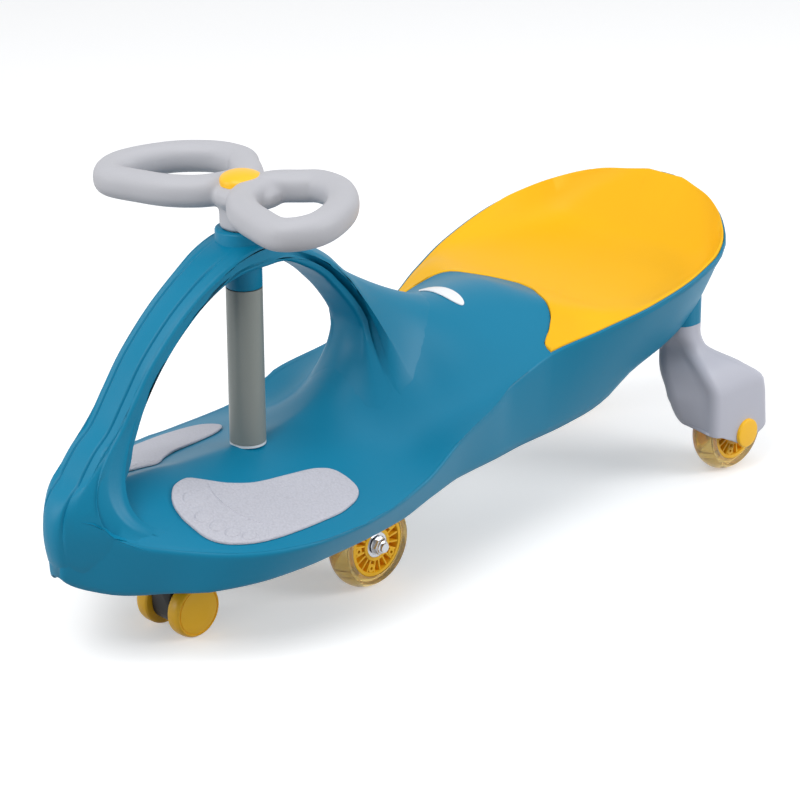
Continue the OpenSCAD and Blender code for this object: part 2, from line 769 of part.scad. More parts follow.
// How far each flat reaches in and out, as shares of the way from the neck to the cheeks
leg_side_shares = [[0, 0.1], [0.45, 0.8], [0.85, 1], [1, 1]];
module leg_flat(i) {
    r = leg_shares[i];
    k = leg_side_shares[i];
    neck_in = leg_y - neck_w / 2;
    neck_out = leg_y + neck_w / 2;
    in_y = neck_in + (inner_y - inner_cheek_t - neck_in) * k[0] + leg_corner;
    out_y = neck_out + (outer_y - neck_out) * k[1] - leg_corner;
    back = rear_axle_x - wheel_r * r[3] + leg_corner;
    for (p = [[wheel_r * r[1] - leg_corner, in_y], [wheel_r * r[2] - leg_corner, out_y]])
        translate([rear_axle_x + p[0], p[1], leg_top * r[0]])
            cylinder(r = leg_corner, h = slice, $fn = 24);
    for (y = [in_y, out_y])
        translate([back, y, leg_top * r[0]])
            cylinder(r = leg_corner, h = slice, $fn = 24);
}

module leg_cheek(low_y, high_y) {
    low = leg_top * leg_shares[3][0];
    hull() {
        translate([rear_axle_x, 0, wheel_r])
            rod_y(2 * cheek_r, low_y, high_y, $fn = 40);
        translate([rear_axle_x - wheel_r * leg_shares[3][3] + leg_corner, low_y, low])
            cube([wheel_r * (leg_shares[3][2] + leg_shares[3][3]) - 2 * leg_corner, high_y - low_y, slice]);
    }
}

module rear_leg(side) {
    color(grey)
        mirrored(side)
            difference() {
                union() {
                    hull() {
                        translate([leg_x, leg_y, leg_top - slice])
                            linear_extrude(slice)
                                leg_outline(0);
                        leg_flat(0);
                    }
                    hull() {
                        leg_flat(0);
                        leg_flat(1);
                    }
                    hull()
                        for (i = [1 : 3])
                            leg_flat(i);
                    leg_cheek(cheek_y, outer_y);
                    leg_cheek(inner_y - inner_cheek_t, inner_y);
                }
                translate([rear_axle_x, 0, wheel_r]) {
                    rod_y(2 * well_r, inner_y, cheek_y);
                    translate([-well_r, inner_y, -wheel_r])
                        cube([2 * well_r, cheek_y - inner_y, wheel_r]);
                    rod_y(axle_d + 2 * fixed_gap, 0, outer_y + overrun);
                    rod_y(cap_spigot_d + 2 * fixed_gap, outer_y - cap_spigot_t, outer_y + overrun);
                    rod_y(nut_pocket_d, 0, inner_y - inner_cheek_t + nut_pocket_t);
                }
                at_leg_bolts()
                    translate([0, 0, leg_top - leg_bolt_depth])
                        cylinder(d = screw_d + 2 * fixed_gap, h = leg_bolt_depth + overrun);
            }
}

// Rear axles, their nuts and their caps
axle_collar_d = 12;
cap_spigot_d = 18;
cap_spigot_t = 6.5;
axle_head_d = 13;
axle_head_h = 4;
nut_across = 13;
nut_h = 6;
nut_pocket_d = 18;
nut_pocket_t = 3;
bearing_inset = 1;
collar_gap = 0.02;
module rear_axle(side) {
    y_end = inner_y - inner_cheek_t + nut_pocket_t - nut_h - overrun;
    head_seat = outer_y - cap_spigot_t;
    color(steel)
        mirrored(side)
            translate([rear_axle_x, 0, wheel_r]) {
                rod_y(axle_d, y_end, head_seat);
                rod_y(axle_head_d, head_seat, head_seat + axle_head_h);
                rod_y(axle_collar_d, cheek_y - well_gap - bearing_inset + collar_gap, cheek_y);
                rod_y(axle_collar_d, inner_y, inner_y + well_gap + bearing_inset - collar_gap);
            }
}

module rear_axle_nuts() {
    color(steel)
        for (side = [-1, 1])
            mirrored(side)
                translate([rear_axle_x, 0, wheel_r])
                    difference() {
                        nut_y(nut_across, inner_y - inner_cheek_t + nut_pocket_t - nut_h,
                            inner_y - inner_cheek_t + nut_pocket_t);
                        rod_y(axle_d + 2 * fixed_gap, 0, rear_y);
                    }
}

cap_lip = 1;
module axle_cap(side) {
    color(yellow)
        mirrored(side)
            translate([rear_axle_x, 0, wheel_r])
                difference() {
                    union() {
                        rod_y(axle_cap_d, outer_y, outer_y + axle_cap_t - cap_lip);
                        translate([0, outer_y + axle_cap_t - cap_lip, 0])
                            rotate([-90, 0, 0])
                                cylinder(d1 = axle_cap_d, d2 = axle_cap_d - 2 * cap_lip, h = cap_lip);
                        rod_y(cap_spigot_d, outer_y - cap_spigot_t + axle_head_h / 2, outer_y);
                    }
                    rod_y(axle_head_d + 2 * fixed_gap, 0, outer_y - cap_spigot_t + axle_head_h + fixed_gap);
                }
}

// Steering wheel: two closed loops either side of a hub, on a neck round the shaft
loop_shares = [
    [0.396, 0.789], [0.21, 0.899], [-0.086, 0.79], [-0.279, 0.58], [-0.324, 0.378], [-0.27, 0.27],
    [-0.126, 0.1], [0.117, 0.154], [0.271, 0.325], [0.352, 0.542]
];
loop_steps = 3;
rim_round_share = 0.3;
// How much the rim falls towards the nose and rises towards its two ends
rake_share = 0.075;
rise_share = 0.026;
// The corners of the hub between the loops, as shares of half the wheel's width
hub_shares = [[0.06, 0.14], [-0.19, 0.19]];
function cyclic(t, i) = t[(i + len(t)) % len(t)];
function loop_point(i, s) =
    let (t = [for (k = [-1 : 2]) cyclic(loop_shares, i + k)])
    smooth_step(t[0], t[1], t[2], t[3], s) * wheel_span / 2;
loop_points = [
    for (i = [0 : len(loop_shares) - 1]) for (k = [0 : loop_steps - 1]) loop_point(i, k / loop_steps)
];

module rim_puck(p, side, h) {
    edge = rim_h * rim_round_share;
    translate([column_x + p[0], side * p[1], rim_z + rise_share * p[1] - rake_share * p[0]]) {
        cylinder(d1 = rim_w - 2 * edge, d2 = rim_w, h = edge, $fn = 20);
        translate([0, 0, edge])
            cylinder(d = rim_w, h = h - 2 * edge, $fn = 20);
        translate([0, 0, h - edge])
            cylinder(d1 = rim_w, d2 = rim_w - 2 * edge, h = edge, $fn = 20);
    }
}

module steering_wheel() {
    color(grey)
        difference() {
            union() {
                for (side = [-1, 1]) for (i = [0 : len(loop_points) - 1])
                    hull() {
                        rim_puck(loop_points[i], side, rim_h);
                        rim_puck(cyclic(loop_points, i + 1), side, rim_h);
                    }
                hull()
                    for (side = [-1, 1]) for (p = hub_shares)
                        rim_puck(p * wheel_span / 2, side, rim_h - hub_dip);
                translate([column_x, 0, head_z + side_gap])
                    cylinder(d = neck_d, h = rim_z - head_z - side_gap + neck_lap, $fn = 40);
            }
            translate([column_x, 0, 0])
                cylinder(d = shaft_d + 2 * skin_gap, h = shaft_top, $fn = 40);
            translate([column_x, 0, 0])
                cylinder(d = bolt_d + 2 * skin_gap, h = rim_top + overrun, $fn = 24);
            translate([column_x, 0, hub_top - cap_seat])
                cylinder(d = cap_d + 2 * skin_gap, h = cap_seat + hub_dip + overrun, $fn = 48);
            translate([column_x, 0, shaft_top + hub_web])
                cylinder(d = washer_d + 2 * side_gap, h = rim_h, $fn = 32);
        }
}

neck_lap = 8;
cap_seat = 2;
hub_web = 2.3;
bolt_washer_t = 1.5;
module wheel_bolt() {
    color(steel)
        translate([column_x, 0, 0]) {
            translate([0, 0, shaft_top - wheel_bolt_reach])
                cylinder(d = bolt_d, h = wheel_bolt_reach + hub_web);
            translate([0, 0, shaft_top + hub_web])
                cylinder(d = washer_d, h = bolt_washer_t);
            translate([0, 0, shaft_top + hub_web + bolt_washer_t])
                cylinder(d = bolt_head_d, h = bolt_head_h, $fn = 6);
        }
}

module wheel_cap() {
    dome_r = (cap_d * cap_d / 4 + cap_h * cap_h) / (2 * cap_h);
    base = hub_top - cap_seat;
    color(yellow)
        translate([column_x, 0, base])
            difference() {
                union() {
                    cylinder(d = cap_d, h = cap_seat);
                    intersection() {
                        translate([0, 0, cap_seat + cap_h - dome_r])
                            sphere(dome_r);
                        translate([0, 0, cap_seat])
                            cylinder(d = cap_d, h = cap_h);
                    }
                }
                translate([0, 0, -overrun])
                    cylinder(d = washer_d + 2 * side_gap, h = overrun + cap_hollow);
            }
}
cap_hollow = 4.5;

// Steering shaft and the sleeve round it
module steering_shaft() {
    color(steel)
        translate([column_x, 0, 0])
            difference() {
                translate([0, 0, shaft_z])
                    cylinder(d = shaft_d, h = shaft_top - shaft_z);
                translate([0, 0, shaft_z + shaft_plug])
                    cylinder(d = shaft_bore, h = shaft_top - shaft_z - 2 * shaft_plug);
                cylinder(d = bolt_d + 2 * fixed_gap, h = rim_top);
            }
}

module column_sleeve() {
    from = flange_seat + flange_t + side_gap;
    color(dark_grey)
        translate([column_x, 0, 0])
            difference() {
                translate([0, 0, from])
                    cylinder(d = sleeve_d, h = collar_z - side_gap - from);
                cylinder(d = shaft_d + 2 * fixed_gap, h = arch_top);
            }
}

module thrust_washer() {
    color(white)
        translate([column_x, 0, 0])
            difference() {
                translate([0, 0, truck_top])
                    cylinder(d = bush_d + 2 * collar_wall, h = washer_t);
                cylinder(d = shaft_d + 2 * fixed_gap, h = deck_z);
            }
}

// Front truck: a triangular frame under the deck that carries the caster ahead and the axle behind
nose_boss_r = 16;
tail_r = 11;
tail_lead = 16;
beam_gap = 5;
beam_half = front_y - wheel_w / 2 - beam_gap;
tail_y = beam_half - tail_r;
module truck_frame() {
    color(black)
        difference() {
            union() {
                hull() {
                    translate([column_x, 0, arm_z])
                        cylinder(d = truck_boss_d, h = arm_t, $fn = 32);
                    translate([swivel_x, 0, arm_z])
                        cylinder(r = nose_boss_r, h = arm_t, $fn = 32);
                }
                hull() {
                    translate([column_x, 0, arm_z])
                        cylinder(d = truck_boss_d, h = arm_t, $fn = 32);
                    for (s = [-1, 1])
                        translate([front_axle_x + tail_lead, s * tail_y, arm_z])
                            cylinder(r = tail_r, h = arm_t, $fn = 32);
                }
                hull() {
                    translate([front_axle_x, 0, wheel_r])
                        rod_y(beam_d, -beam_half, beam_half, $fn = 32);
                    for (s = [-1, 1])
                        translate([front_axle_x + tail_lead, s * tail_y, arm_z])
                            cylinder(r = tail_r, h = arm_t, $fn = 32);
                }
                translate([column_x, 0, arm_z])
                    cylinder(d = truck_boss_d, h = truck_top - arm_z);
            }
            translate([column_x, 0, shaft_z])
                cylinder(d = shaft_d + 2 * fixed_gap, h = deck_z);
            translate([column_x, 0, 0])
                cylinder(d = bolt_d + 2 * fixed_gap, h = deck_z);
            translate([swivel_x, 0, 0])
                cylinder(d = stem_d + 2 * run_fit, h = deck_z);
            translate([front_axle_x, 0, wheel_r])
                rod_y(axle_d + 2 * fixed_gap, -front_y, front_y);
        }
}

module truck_bolt() {
    color(steel)
        translate([column_x, 0, 0]) {
            translate([0, 0, arm_z])
                cylinder(d = bolt_d, h = arm_t + truck_bolt_reach);
            translate([0, 0, arm_z - bolt_washer_t])
                cylinder(d = washer_d, h = bolt_washer_t);
            translate([0, 0, arm_z - bolt_washer_t - bolt_head_h])
                cylinder(d = bolt_head_d, h = bolt_head_h, $fn = 6);
        }
}

axle_end = 9;
module front_axle() {
    reach = front_y + wheel_w / 2;
    color(steel)
        translate([front_axle_x, 0, wheel_r]) {
            rod_y(axle_d, -reach - axle_end, reach + axle_end);
            for (side = [-1, 1])
                mirrored(side)
                    rod_y(axle_collar_d, beam_half, front_y - wheel_w / 2 + bearing_inset);
        }
}

module front_axle_nuts() {
    from = front_y + wheel_w / 2 - bearing_inset;
    color(steel)
        for (side = [-1, 1])
            mirrored(side)
                translate([front_axle_x, 0, wheel_r])
                    difference() {
                        union() {
                            rod_y(axle_collar_d, from, from + bolt_washer_t);
                            nut_y(nut_across, from + bolt_washer_t, from + bolt_washer_t + nut_h);
                        }
                        rod_y(axle_d + 2 * fixed_gap, 0, front_y + wheel_w + axle_end);
                    }
}

// Road wheels, each on a pair of ball bearings
module at_wheel(front, side) {
    mirrored(side)
        translate(front ? [front_axle_x, front_y, wheel_r] : [rear_axle_x, rear_y, wheel_r])
            rotate([-90, 0, 0])
                children();
}

crown_share = 0.4;
ring_w_share = 0.6;
module tyre() {
    crown_r = wheel_r * crown_share;
    inner = hub_d / 2 + fixed_gap;
    color(amber)
        difference() {
            rotate_extrude()
                intersection() {
                    translate([wheel_r - crown_r, 0])
                        circle(crown_r);
                    translate([inner, -wheel_w / 2])
                        square([wheel_r, wheel_w]);
                }
            rotate_extrude()
                translate([inner - overrun, -wheel_w * ring_w_share / 2])
                    square([ring_t + overrun, wheel_w * ring_w_share]);
        }
}

module light_ring() {
    color(white)
        rotate_extrude()
            translate([hub_d / 2 + fixed_gap, -wheel_w * ring_w_share / 2 + fixed_gap])
                square([ring_t - 2 * fixed_gap, wheel_w * ring_w_share - 2 * fixed_gap]);
}

hub_rim_t = 3.5;
hub_core_t = 3.5;
web_t = 5;
rib_t = 2.2;
rib_count = 12;
hub_inset = 0.8;
module hub() {
    hub_w = wheel_w - 2 * hub_inset;
    core_r = bearing_d / 2 + hub_core_t;
    rib_from = core_r - hub_core_t / 2;
    rib_to = (hub_d - hub_rim_t) / 2;
    color(yellow)
        difference() {
            union() {
                difference() {
                    cylinder(d = hub_d, h = hub_w, center = true);
                    cylinder(d = hub_d - 2 * hub_rim_t, h = hub_w + overrun, center = true);
                }
                cylinder(d = hub_d - hub_rim_t, h = web_t, center = true);
                cylinder(r = core_r, h = hub_w, center = true);
                for (i = [0 : rib_count - 1])
                    rotate(360 * i / rib_count)
                        translate([rib_from, -rib_t / 2, -hub_w / 2 + hub_inset])
                            cube([rib_to - rib_from, rib_t, hub_w - 2 * hub_inset]);
            }
            cylinder(d = bearing_d - 2 * bearing_step, h = wheel_w, center = true);
            for (s = [-1, 1])
                translate([0, 0, s * (wheel_w / 2 - bearing_inset - bearing_w / 2 + overrun / 2)])
                    cylinder(d = bearing_d + 2 * fixed_gap, h = bearing_w + overrun, center = true);
        }
}

bearing_step = 2;
race_groove = 0.6;
module bearings() {
    outer_d = bearing_d - 2 * bearing_step;
    inner_d = axle_d + 2 * bearing_step;
    color(steel)
        for (s = [-1, 1])
            translate([0, 0, s * (wheel_w / 2 - bearing_inset - bearing_w / 2)])
                difference() {
                    cylinder(d = bearing_d, h = bearing_w, center = true);
                    cylinder(d = axle_d + 2 * run_fit, h = bearing_w + overrun, center = true);
                    for (e = [-1, 1])
                        translate([0, 0, e * bearing_w / 2])
                            difference() {
                                cylinder(d = outer_d, h = 2 * race_groove, center = true);
                                cylinder(d = inner_d, h = 2 * race_groove + overrun, center = true);
                            }
                }
}

module left_front_tyre() { at_wheel(true, 1) tyre(); }
module left_front_hub() { at_wheel(true, 1) hub(); }
module left_front_light_ring() { at_wheel(true, 1) light_ring(); }
module left_front_bearings() { at_wheel(true, 1) bearings(); }
module right_front_tyre() { at_wheel(true, -1) tyre(); }
module right_front_hub() { at_wheel(true, -1) hub(); }
module right_front_light_ring() { at_wheel(true, -1) light_ring(); }
module right_front_bearings() { at_wheel(true, -1) bearings(); }
module left_rear_tyre() { at_wheel(false, 1) tyre(); }
module left_rear_hub() { at_wheel(false, 1) hub(); }
module left_rear_light_ring() { at_wheel(false, 1) light_ring(); }
module left_rear_bearings() { at_wheel(false, 1) bearings(); }
module right_rear_tyre() { at_wheel(false, -1) tyre(); }
module right_rear_hub() { at_wheel(false, -1) hub(); }
module right_rear_light_ring() { at_wheel(false, -1) light_ring(); }
module right_rear_bearings() { at_wheel(false, -1) bearings(); }
module left_rear_leg() { rear_leg(1); }
module right_rear_leg() { rear_leg(-1); }
module left_rear_axle() { rear_axle(1); }
module right_rear_axle() { rear_axle(-1); }
module left_axle_cap() { axle_cap(1); }
module right_axle_cap() { axle_cap(-1); }

// Caster: a housing on a swivel stem, with a wheel on each side of it
caster_r = caster_d / 2;
hood_r = 17;
hood_top_r = caster_gap / 2;
caster_lift = arm_z - side_gap;
stem_sink = 9;
clip_t = 2;
clip_d = 16;
module caster_housing() {
    color(black)
        difference() {
            hull() {
                translate([caster_axle_x, 0, caster_r])
                    rod_y(2 * hood_r, -caster_gap / 2, caster_gap / 2, $fn = 32);
                translate([swivel_x, 0, caster_lift - stem_sink])
                    cylinder(r = hood_top_r, h = stem_sink, $fn = 32);
            }
            translate([swivel_x, 0, caster_lift - stem_sink])
                cylinder(d = stem_d + 2 * fixed_gap, h = stem_sink + overrun);
            translate([caster_axle_x, 0, caster_r])
                rod_y(caster_axle_d + 2 * fixed_gap, -caster_d, caster_d);
        }
}

module caster_stem() {
    color(steel)
        translate([swivel_x, 0, caster_lift - stem_sink])
            cylinder(d = stem_d, h = stem_sink + side_gap + arm_t + side_gap + clip_t);
}

module caster_clip() {
    color(steel)
        translate([swivel_x, 0, arm_z + arm_t + side_gap])
            difference() {
                cylinder(d = clip_d, h = clip_t);
                translate([0, 0, -overrun])
                    cylinder(d = stem_d + 2 * fixed_gap, h = clip_t + 2 * overrun);
            }
}

caster_wall = 2;
module caster_axle() {
    reach = caster_gap / 2 + caster_w - caster_wall;
    color(steel)
        translate([caster_axle_x, 0, caster_r])
            rod_y(caster_axle_d, -reach, reach);
}

caster_edge = 2.5;
module caster_wheel(side) {
    from = caster_gap / 2 + side_gap;
    color(yellow)
        mirrored(side)
            translate([caster_axle_x, 0, caster_r])
                difference() {
                    union() {
                        translate([0, from, 0])
                            rotate([-90, 0, 0])
                                cylinder(d1 = caster_d - 2 * caster_edge, d2 = caster_d, h = caster_edge);
                        rod_y(caster_d, from + caster_edge, from + caster_w - caster_edge);
                        translate([0, from + caster_w - caster_edge, 0])
                            rotate([-90, 0, 0])
                                cylinder(d1 = caster_d, d2 = caster_d - 2 * caster_edge, h = caster_edge);
                    }
                    rod_y(caster_axle_d + 2 * run_fit, 0, from + caster_w - caster_wall + side_gap);
                }
}

module left_caster_wheel() { caster_wheel(1); }
module right_caster_wheel() { caster_wheel(-1); }

body_shell();
underbody_cover();
seat_liner();
left_foot_pad();
right_foot_pad();
badge_plate();
upper_bush();
lower_bush();
cover_screws();
left_rear_leg();
right_rear_leg();
leg_bolts();
left_rear_axle();
right_rear_axle();
rear_axle_nuts();
left_axle_cap();
right_axle_cap();
steering_wheel();
wheel_cap();
wheel_bolt();
steering_shaft();
column_sleeve();
thrust_washer();
truck_frame();
truck_bolt();
front_axle();
front_axle_nuts();
left_front_tyre();
left_front_hub();
left_front_light_ring();
left_front_bearings();
right_front_tyre();
right_front_hub();
right_front_light_ring();
right_front_bearings();
left_rear_tyre();
left_rear_hub();
left_rear_light_ring();
left_rear_bearings();
right_rear_tyre();
right_rear_hub();
right_rear_light_ring();
right_rear_bearings();
caster_housing();
caster_stem();
caster_clip();
caster_axle();
left_caster_wheel();
right_caster_wheel();
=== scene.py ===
"""Looks of a wiggle car: smooth mouldings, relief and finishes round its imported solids."""

import logging
import math
from dataclasses import dataclass, field
from enum import Enum
from typing import Any, Callable, Iterable, Sequence

import bmesh
import bpy
from mathutils import Matrix, Vector


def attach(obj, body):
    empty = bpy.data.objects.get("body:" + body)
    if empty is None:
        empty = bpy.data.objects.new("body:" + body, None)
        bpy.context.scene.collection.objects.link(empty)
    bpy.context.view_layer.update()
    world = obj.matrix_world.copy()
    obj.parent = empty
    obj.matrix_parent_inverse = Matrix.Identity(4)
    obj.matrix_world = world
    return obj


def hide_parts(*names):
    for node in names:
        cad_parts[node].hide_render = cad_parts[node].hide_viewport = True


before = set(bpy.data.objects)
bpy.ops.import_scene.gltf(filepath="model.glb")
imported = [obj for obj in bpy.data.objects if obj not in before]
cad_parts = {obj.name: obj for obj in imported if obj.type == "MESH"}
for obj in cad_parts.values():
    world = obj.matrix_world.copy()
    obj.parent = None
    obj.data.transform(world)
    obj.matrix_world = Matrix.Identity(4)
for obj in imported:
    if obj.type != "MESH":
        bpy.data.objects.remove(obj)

LOG = logging.getLogger("wiggle_car")
MM = 0.001
Vert = bmesh.types.BMVert
Row = tuple[float, ...]
Spot = tuple[float, float, float]
Flat = tuple[float, float]

# A line along the arch: its point in the half section, and the sign of Y.
Strand = tuple[int, int]
# Where such a line leaves the arch, and the rest of it.
Foot = tuple[float, list[Spot]]
# First points of the half section on the arch's edge, on its side and on its inner corner.
EDGE_AT, SIDE_AT, INNER_AT = 12, 17, 23


class Side(Enum):
    """The rider's left and right, with the sign of Y on each."""

    LEFT = 1
    RIGHT = -1

    @property
    def word(self) -> str:
        """The side's name as the solids spell it."""
        return self.name.lower()


class Axis(Enum):
    """The axes that pieces are turned round."""

    UPRIGHT = (0, 0, 1)
    CROSSWISE = (0, 1, 0)


def clamp(value: float) -> float:
    """A value held between 0 and 1."""
    return min(1.0, max(0.0, value))


def heading(a: Row, b: Row) -> Vector:
    """Direction from one flat place to another."""
    return Vector((b[0] - a[0], b[1] - a[1])).normalized()


@dataclass(frozen=True)
class Curve:
    """A smooth line through the rows of a table that never overshoots them.

    Attributes:
        rows: each row's place, then its values.
    """

    rows: tuple[Row, ...]

    def _rise(self, i: int, c: int) -> float:
        """Slope of the straight line from row i to the next one."""
        return (self.rows[i + 1][c] - self.rows[i][c]) / (self.rows[i + 1][0] - self.rows[i][0])

    def _slope(self, i: int, c: int) -> float:
        """Slope of the smooth line at row i.

        Args:
            i: row.
            c: column.

        Returns:
            The slope, level at a turning point.
        """
        last = len(self.rows) - 1
        if i == 0:
            return self._rise(0, c)
        if i == last:
            return self._rise(last - 1, c)
        a, b = self._rise(i - 1, c), self._rise(i, c)
        return 0.0 if a * b <= 0 else 2 * a * b / (a + b)

    def at(self, k: float, c: int = 1) -> float:
        """Value of the line.

        Args:
            k: place along the table.
            c: column.

        Returns:
            The value there, held level past both ends.
        """
        i = 0
        while i < len(self.rows) - 2 and k >= self.rows[i + 1][0]:
            i += 1
        h = self.rows[i + 1][0] - self.rows[i][0]
        s = clamp((k - self.rows[i][0]) / h)
        a, b = self._slope(i, c) * h, self._slope(i + 1, c) * h
        d = self.rows[i + 1][c] - self.rows[i][c]
        return self.rows[i][c] + a * s + (3 * d - 2 * a - b) * s * s + (a + b - 2 * d) * s**3


def drift(p0: Row, p1: Row, p2: Row, p3: Row, s: float) -> Row:
    """A smooth step from p1 to p2 that heads along its neighbours.

    Args:
        p0: row before the step.
        p1: row where it starts.
        p2: row where it ends.
        p3: row after the step.
        s: share of the step.

    Returns:
        The row at that share.
    """
    return tuple(
        b + (c - a) * s / 2 + (2 * a - 5 * b + 4 * c - d) * s * s / 2 + (3 * b - a - 3 * c + d) * s**3 / 2
        for a, b, c, d in zip(p0, p1, p2, p3)
    )


def bend(a: Spot, b: Spot, c: Spot, s: float) -> Spot:
    """A point on the curve that leaves a towards b and reaches c from b.

    Args:
        a: start.
        b: corner.
        c: end.
        s: share of the way.

    Returns:
        The point at that share.
    """
    return tuple((1 - s) ** 2 * p + 2 * s * (1 - s) * q + s * s * r for p, q, r in zip(a, b, c))


class Form:
    """A mesh in the making, shaped in millimetres with bmesh operators."""

    def __init__(self) -> None:
        """Starts an empty mesh."""
        self.mesh = bmesh.new()

    @staticmethod
    def pairs(chain: Sequence[Any], closed: bool) -> list[tuple[Any, Any]]:
        """Neighbours along a chain, with its two ends joined where it is closed."""
        return list(zip(chain, [*chain[1:], chain[0]] if closed else chain[1:]))

    def chain(self, spots: Iterable[Spot], closed: bool = True) -> list[Vert]:
        """Lays the first row of a shape.

        Args:
            spots: places in millimetres.
            closed: whether the row is a ring.

        Returns:
            The row's vertices.
        """
        verts = [self.mesh.verts.new(Vector(spot) * MM) for spot in spots]
        for pair in self.pairs(verts, closed):
            self.mesh.edges.new(pair)
        return verts

    def pull(self, chain: list[Vert], spots: Iterable[Spot], closed: bool = True) -> list[Vert]:
        """Extrudes a row's edges on to the next row.

        Args:
            chain: vertices of the row so far.
            spots: places of the next row, one for each vertex.
            closed: whether the row is a ring.

        Returns:
            The new row's vertices.
        """
        edges = [self.mesh.edges.get(pair) for pair in self.pairs(chain, closed)]
        made = bmesh.ops.extrude_edge_only(self.mesh, edges=edges)["geom"]
        old = set(chain)
        twin = {}
        for vert in (part for part in made if isinstance(part, Vert)):
            for edge in vert.link_edges:
                if edge.other_vert(vert) in old:
                    twin[edge.other_vert(vert)] = vert
        for vert, spot in zip(chain, spots):
            twin[vert].co = Vector(spot) * MM
        return [twin[vert] for vert in chain]

    def cap(self, chain: list[Vert]) -> None:
        """Closes a ring with one face."""
        bmesh.ops.contextual_create(self.mesh, geom=chain)

    def loft(
        self, rows: Sequence[Sequence[Spot]], closed: bool = True, caps: tuple[bool, bool] = (True, True)
    ) -> None:
        """Runs a skin through rows of equal count.

        Args:
            rows: rows of places in millimetres.
            closed: whether each row is a ring.
            caps: whether the first and the last row are closed with a face.
        """
        first = chain = self.chain(rows[0], closed)
        for row in rows[1:]:
            chain = self.pull(chain, row, closed)
        for ring, wanted in ((first, caps[0]), (chain, caps[1])):
            if wanted:
                self.cap(ring)

    def lathe(
        self, profile: Sequence[Flat], centre: Spot, axis: Axis, steps: int = 64, closed: bool = False
    ) -> None:
        """Spins a profile round an upright or crosswise axis.

        Args:
            profile: radius and place along the axis.
            centre: a point on the axis.
            axis: which axis.
            steps: faces round the axis.
            closed: whether the profile joins up with its start.
        """
        along = Vector(axis.value)
        spots = [tuple(Vector(centre) + Vector((r, 0, 0)) + along * h) for r, h in profile]
        chain = self.chain(spots, closed)
        edges = [self.mesh.edges.get(pair) for pair in self.pairs(chain, closed)]
        bmesh.ops.spin(
            self.mesh, geom=[*chain, *edges], cent=Vector(centre) * MM, axis=along, dvec=(0, 0, 0),
            angle=math.tau, steps=steps, use_merge=True, use_duplicate=False,
        )

    def turn(
        self, profile: Sequence[Flat], side: Side, axle: Flat, face: float, steps: int, closed: bool = False
    ) -> None:
        """Spins a profile round an axle, outwards from a face on one side of the car.

        Args:
            profile: radius, and distance outwards from the face.
            side: the car's side.
            axle: place of the axle along the car, and its height.
            face: how far out the face lies.
            steps: faces round the axle.
            closed: whether the profile joins up with its start.
        """
        sign = side.value
        outwards = [(r, sign * h) for r, h in profile]
        self.lathe(outwards, (axle[0], sign * face, axle[1]), Axis.CROSSWISE, steps, closed)

    def block(self, size: Spot, place: Matrix, edge: float) -> None:
        """Adds a block with rounded edges.

        Args:
            size: its three sides in millimetres.
            place: where it sits, in millimetres.
            edge: width of its rounded edges.
        """
        where = Matrix.Scale(MM, 4) @ place @ Matrix.Diagonal((*size, 1))
        verts = bmesh.ops.create_cube(self.mesh, size=1, matrix=where)["verts"]
        edges = list({e for v in verts for e in v.link_edges})
        bmesh.ops.bevel(
            self.mesh, geom=edges, offset=edge * MM, offset_type="OFFSET", affect="EDGES", segments=2,
            profile=0.5, material=-1,
        )

    def settle(self, name: str, sharp: float = 40.0) -> bpy.types.Object:
        """Makes the mesh an object with smooth shading.

        Args:
            name: the piece's name.
            sharp: angle in degrees past which an edge stays crisp.

        Returns:
            The object, linked to the scene.
        """
        bmesh.ops.remove_doubles(self.mesh, verts=self.mesh.verts, dist=1e-6)
        bmesh.ops.recalc_face_normals(self.mesh, faces=self.mesh.faces)
        for face in self.mesh.faces:
            face.smooth = True
        for edge in self.mesh.edges:
            edge.smooth = len(edge.link_faces) != 2 or edge.calc_face_angle(0) < math.radians(sharp)
        data = bpy.data.meshes.new(name)
        self.mesh.to_mesh(data)
        self.mesh.free()
        piece = bpy.data.objects.new(name, data)
        bpy.context.scene.collection.objects.link(piece)
        return piece


def thicken(skin: bpy.types.Object, wall: float) -> None:
    """Gives a skin a wall inwards, in millimetres."""
    solid = skin.modifiers.new("wall", "SOLIDIFY")
    solid.thickness, solid.offset = wall * MM, -1


def bake(piece: bpy.types.Object) -> None:
    """Applies a piece's modifiers to its mesh and shades it smooth."""
    graph = bpy.context.evaluated_depsgraph_get()
    data = bpy.data.meshes.new_from_object(piece.evaluated_get(graph))
    piece.modifiers.clear()
    piece.data = data
    data.shade_smooth()


class Socket:
    """A shader socket that adds, multiplies and is taken from a number as a Python value."""

    def __init__(self, paint: "Paint", source: Any) -> None:
        """Wraps a node's output."""
        self.paint, self.source = paint, source

    def _maths(self, operation: str, a: Any, b: Any) -> "Socket":
        """Adds a Math node on two values."""
        return self.paint.node("ShaderNodeMath", {"operation": operation}, {0: a, 1: b})

    def __add__(self, other: Any) -> "Socket":
        """Sum."""
        return self._maths("ADD", self, other)

    def __rsub__(self, other: Any) -> "Socket":
        """Difference from a number."""
        return self._maths("SUBTRACT", other, self)

    def __mul__(self, other: Any) -> "Socket":
        """Product."""
        return self._maths("MULTIPLY", self, other)


